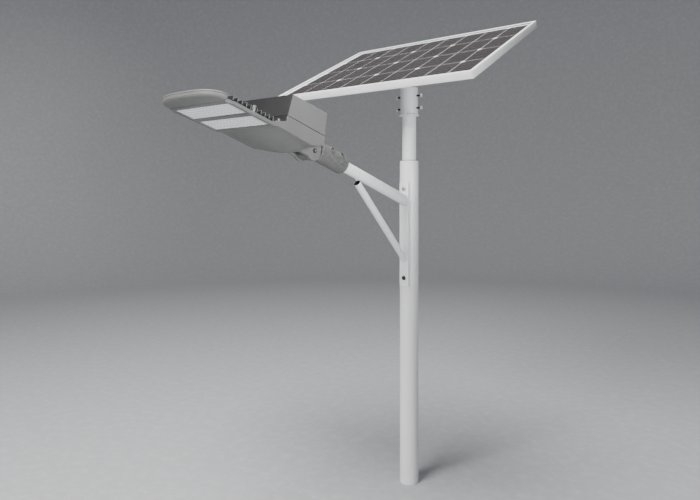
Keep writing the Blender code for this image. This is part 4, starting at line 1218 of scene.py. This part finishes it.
def build_fins(name):
    """A finned sink: thin tapered fins with round crests over a deck; painted shade darkens the fins' flanks and
    the deck between them.
    """
    node = f"heat_sink_{name}"
    points = points_of(node, HEAD)
    low, high = extent(node, HEAD)
    deck = extent(f"lens_plate_{name}", HEAD)[0].z + BOARD_SPACE + DECK_THICKNESS
    crest = sorted({round(p.y, 4) for p in points if p.z > high.z - 0.0002})
    middles = [0.5 * (a + b) for a, b in zip(crest[0::2], crest[1::2])]
    half = high.x - 0.0002
    fins = []
    for y in middles:
        left = [(-0.5 * FIN_BASE, deck - 0.0012), (-0.5 * FIN_CREST, high.z - 0.0006),
                (-0.3 * FIN_CREST, high.z)]
        right = [(-offset, z) for offset, z in reversed(left)]
        fins.append(plate([(y + offset, z) for offset, z in left + right], -half, half))
    mesh = joined(fins)
    # painted shade on the fins' flanks, in the gaps between the fins
    two_tone(mesh, "head_paint", "painted_shade", lambda at, normal: abs(normal.y) > 0.9)
    piece(f"fins_{name}", mesh, HEAD, "head", "head_paint", (node,))
    # the deck below the fins is painted shade
    slab = skinned(box_rings((-half, low.y, deck - 0.0030), (half, high.y, deck)))
    made = piece(f"fin_deck_{name}", slab, HEAD, "head", "head_paint", finish="painted_shade")
    rounded_edges(made, 0.0004, 2)


TIP_STEPS = 56
TIP_POWER = 2.7


def build_tip():
    """The nose: a shallow bowl below a thin rim, its outline between an ellipse and a rectangle."""
    low, high = extent("tip_cap", HEAD)

    def outline(inset):
        half = high.x - inset
        depth = high.y - low.y - inset
        ring = []
        for i in range(TIP_STEPS + 1):
            angle = math.pi * i / TIP_STEPS
            x = math.copysign(abs(math.cos(angle)) ** (2.0 / TIP_POWER), math.cos(angle))
            ring.append((half * x, high.y - depth * math.sin(angle) ** (2.0 / TIP_POWER)))
        return ring

    rise = high.z - low.z
    levels = [(low.z + 0.0006, 0.0125), (low.z + 0.0010, 0.0115)]
    for i in range(1, 8):
        angle = 0.5 * math.pi * i / 8
        levels.append((low.z + 0.0010 + (rise - 0.0070) * (1.0 - math.cos(angle)),
                       0.0115 - 0.0093 * math.sin(angle)))
    levels += [(high.z - 0.0042, 0.0020), (high.z - 0.0034, 0.0), (high.z - 0.0006, 0.0), (high.z, 0.0006)]
    rings = [[Vector((x, y, z)) for x, y in outline(inset)] for z, inset in levels]
    made = piece("nose_cap", skinned(rings), HEAD, "head", "head_paint", ("tip_cap",))
    rounded_edges(made, 0.0005, 2)


def build_knuckle_bolt():
    """A pivot bolt whose head is dark round the bright end in its middle, and its nut."""
    m = bolt_measures("head_pivot_bolt", HEAD, (-1.0, 0.0, 0.0))
    head, height, shank = m["head"], m["height"], m["shank"]
    end = 0.55 * head
    profile = ((0.1 * end, -height), (0.8 * end, -height), (end, -0.92 * height), (end, -0.62 * height),
               (0.9 * head, -0.62 * height), (head, -0.5 * height), (head, -0.0001), (shank, 0.0))
    rings = [small_circle(radius, along) for radius, along in profile]
    rings += thread_rings(shank, 0.0002, m["length"], 0.35 * shank)
    mesh = skinned(rings)
    two_tone(mesh, "bright_steel", "dark_steel",
             lambda at, normal: math.hypot(at.x, at.y) > 0.9 * end and -0.65 * height < at.z < 0.0)
    piece("pivot_bolt_turned", mesh, HEAD @ m["frame"], "head", "bright_steel", ("head_pivot_bolt",))
    hex_nut("head_pivot_nut", HEAD, "head", (-1.0, 0.0, 0.0), "bright_steel")


# -------- main

build_camera()
build_lights()
build_floor(MATERIALS["floor"])
build_pole()
build_plate_bolts()
build_arm()
build_collar()
build_panel()
build_clamp()
for name, (finish, width) in DRESSED.items():
    dress(name, finish, width)
build_housing()
build_cover()
build_modules()
build_tip()
build_knuckle_bolt()
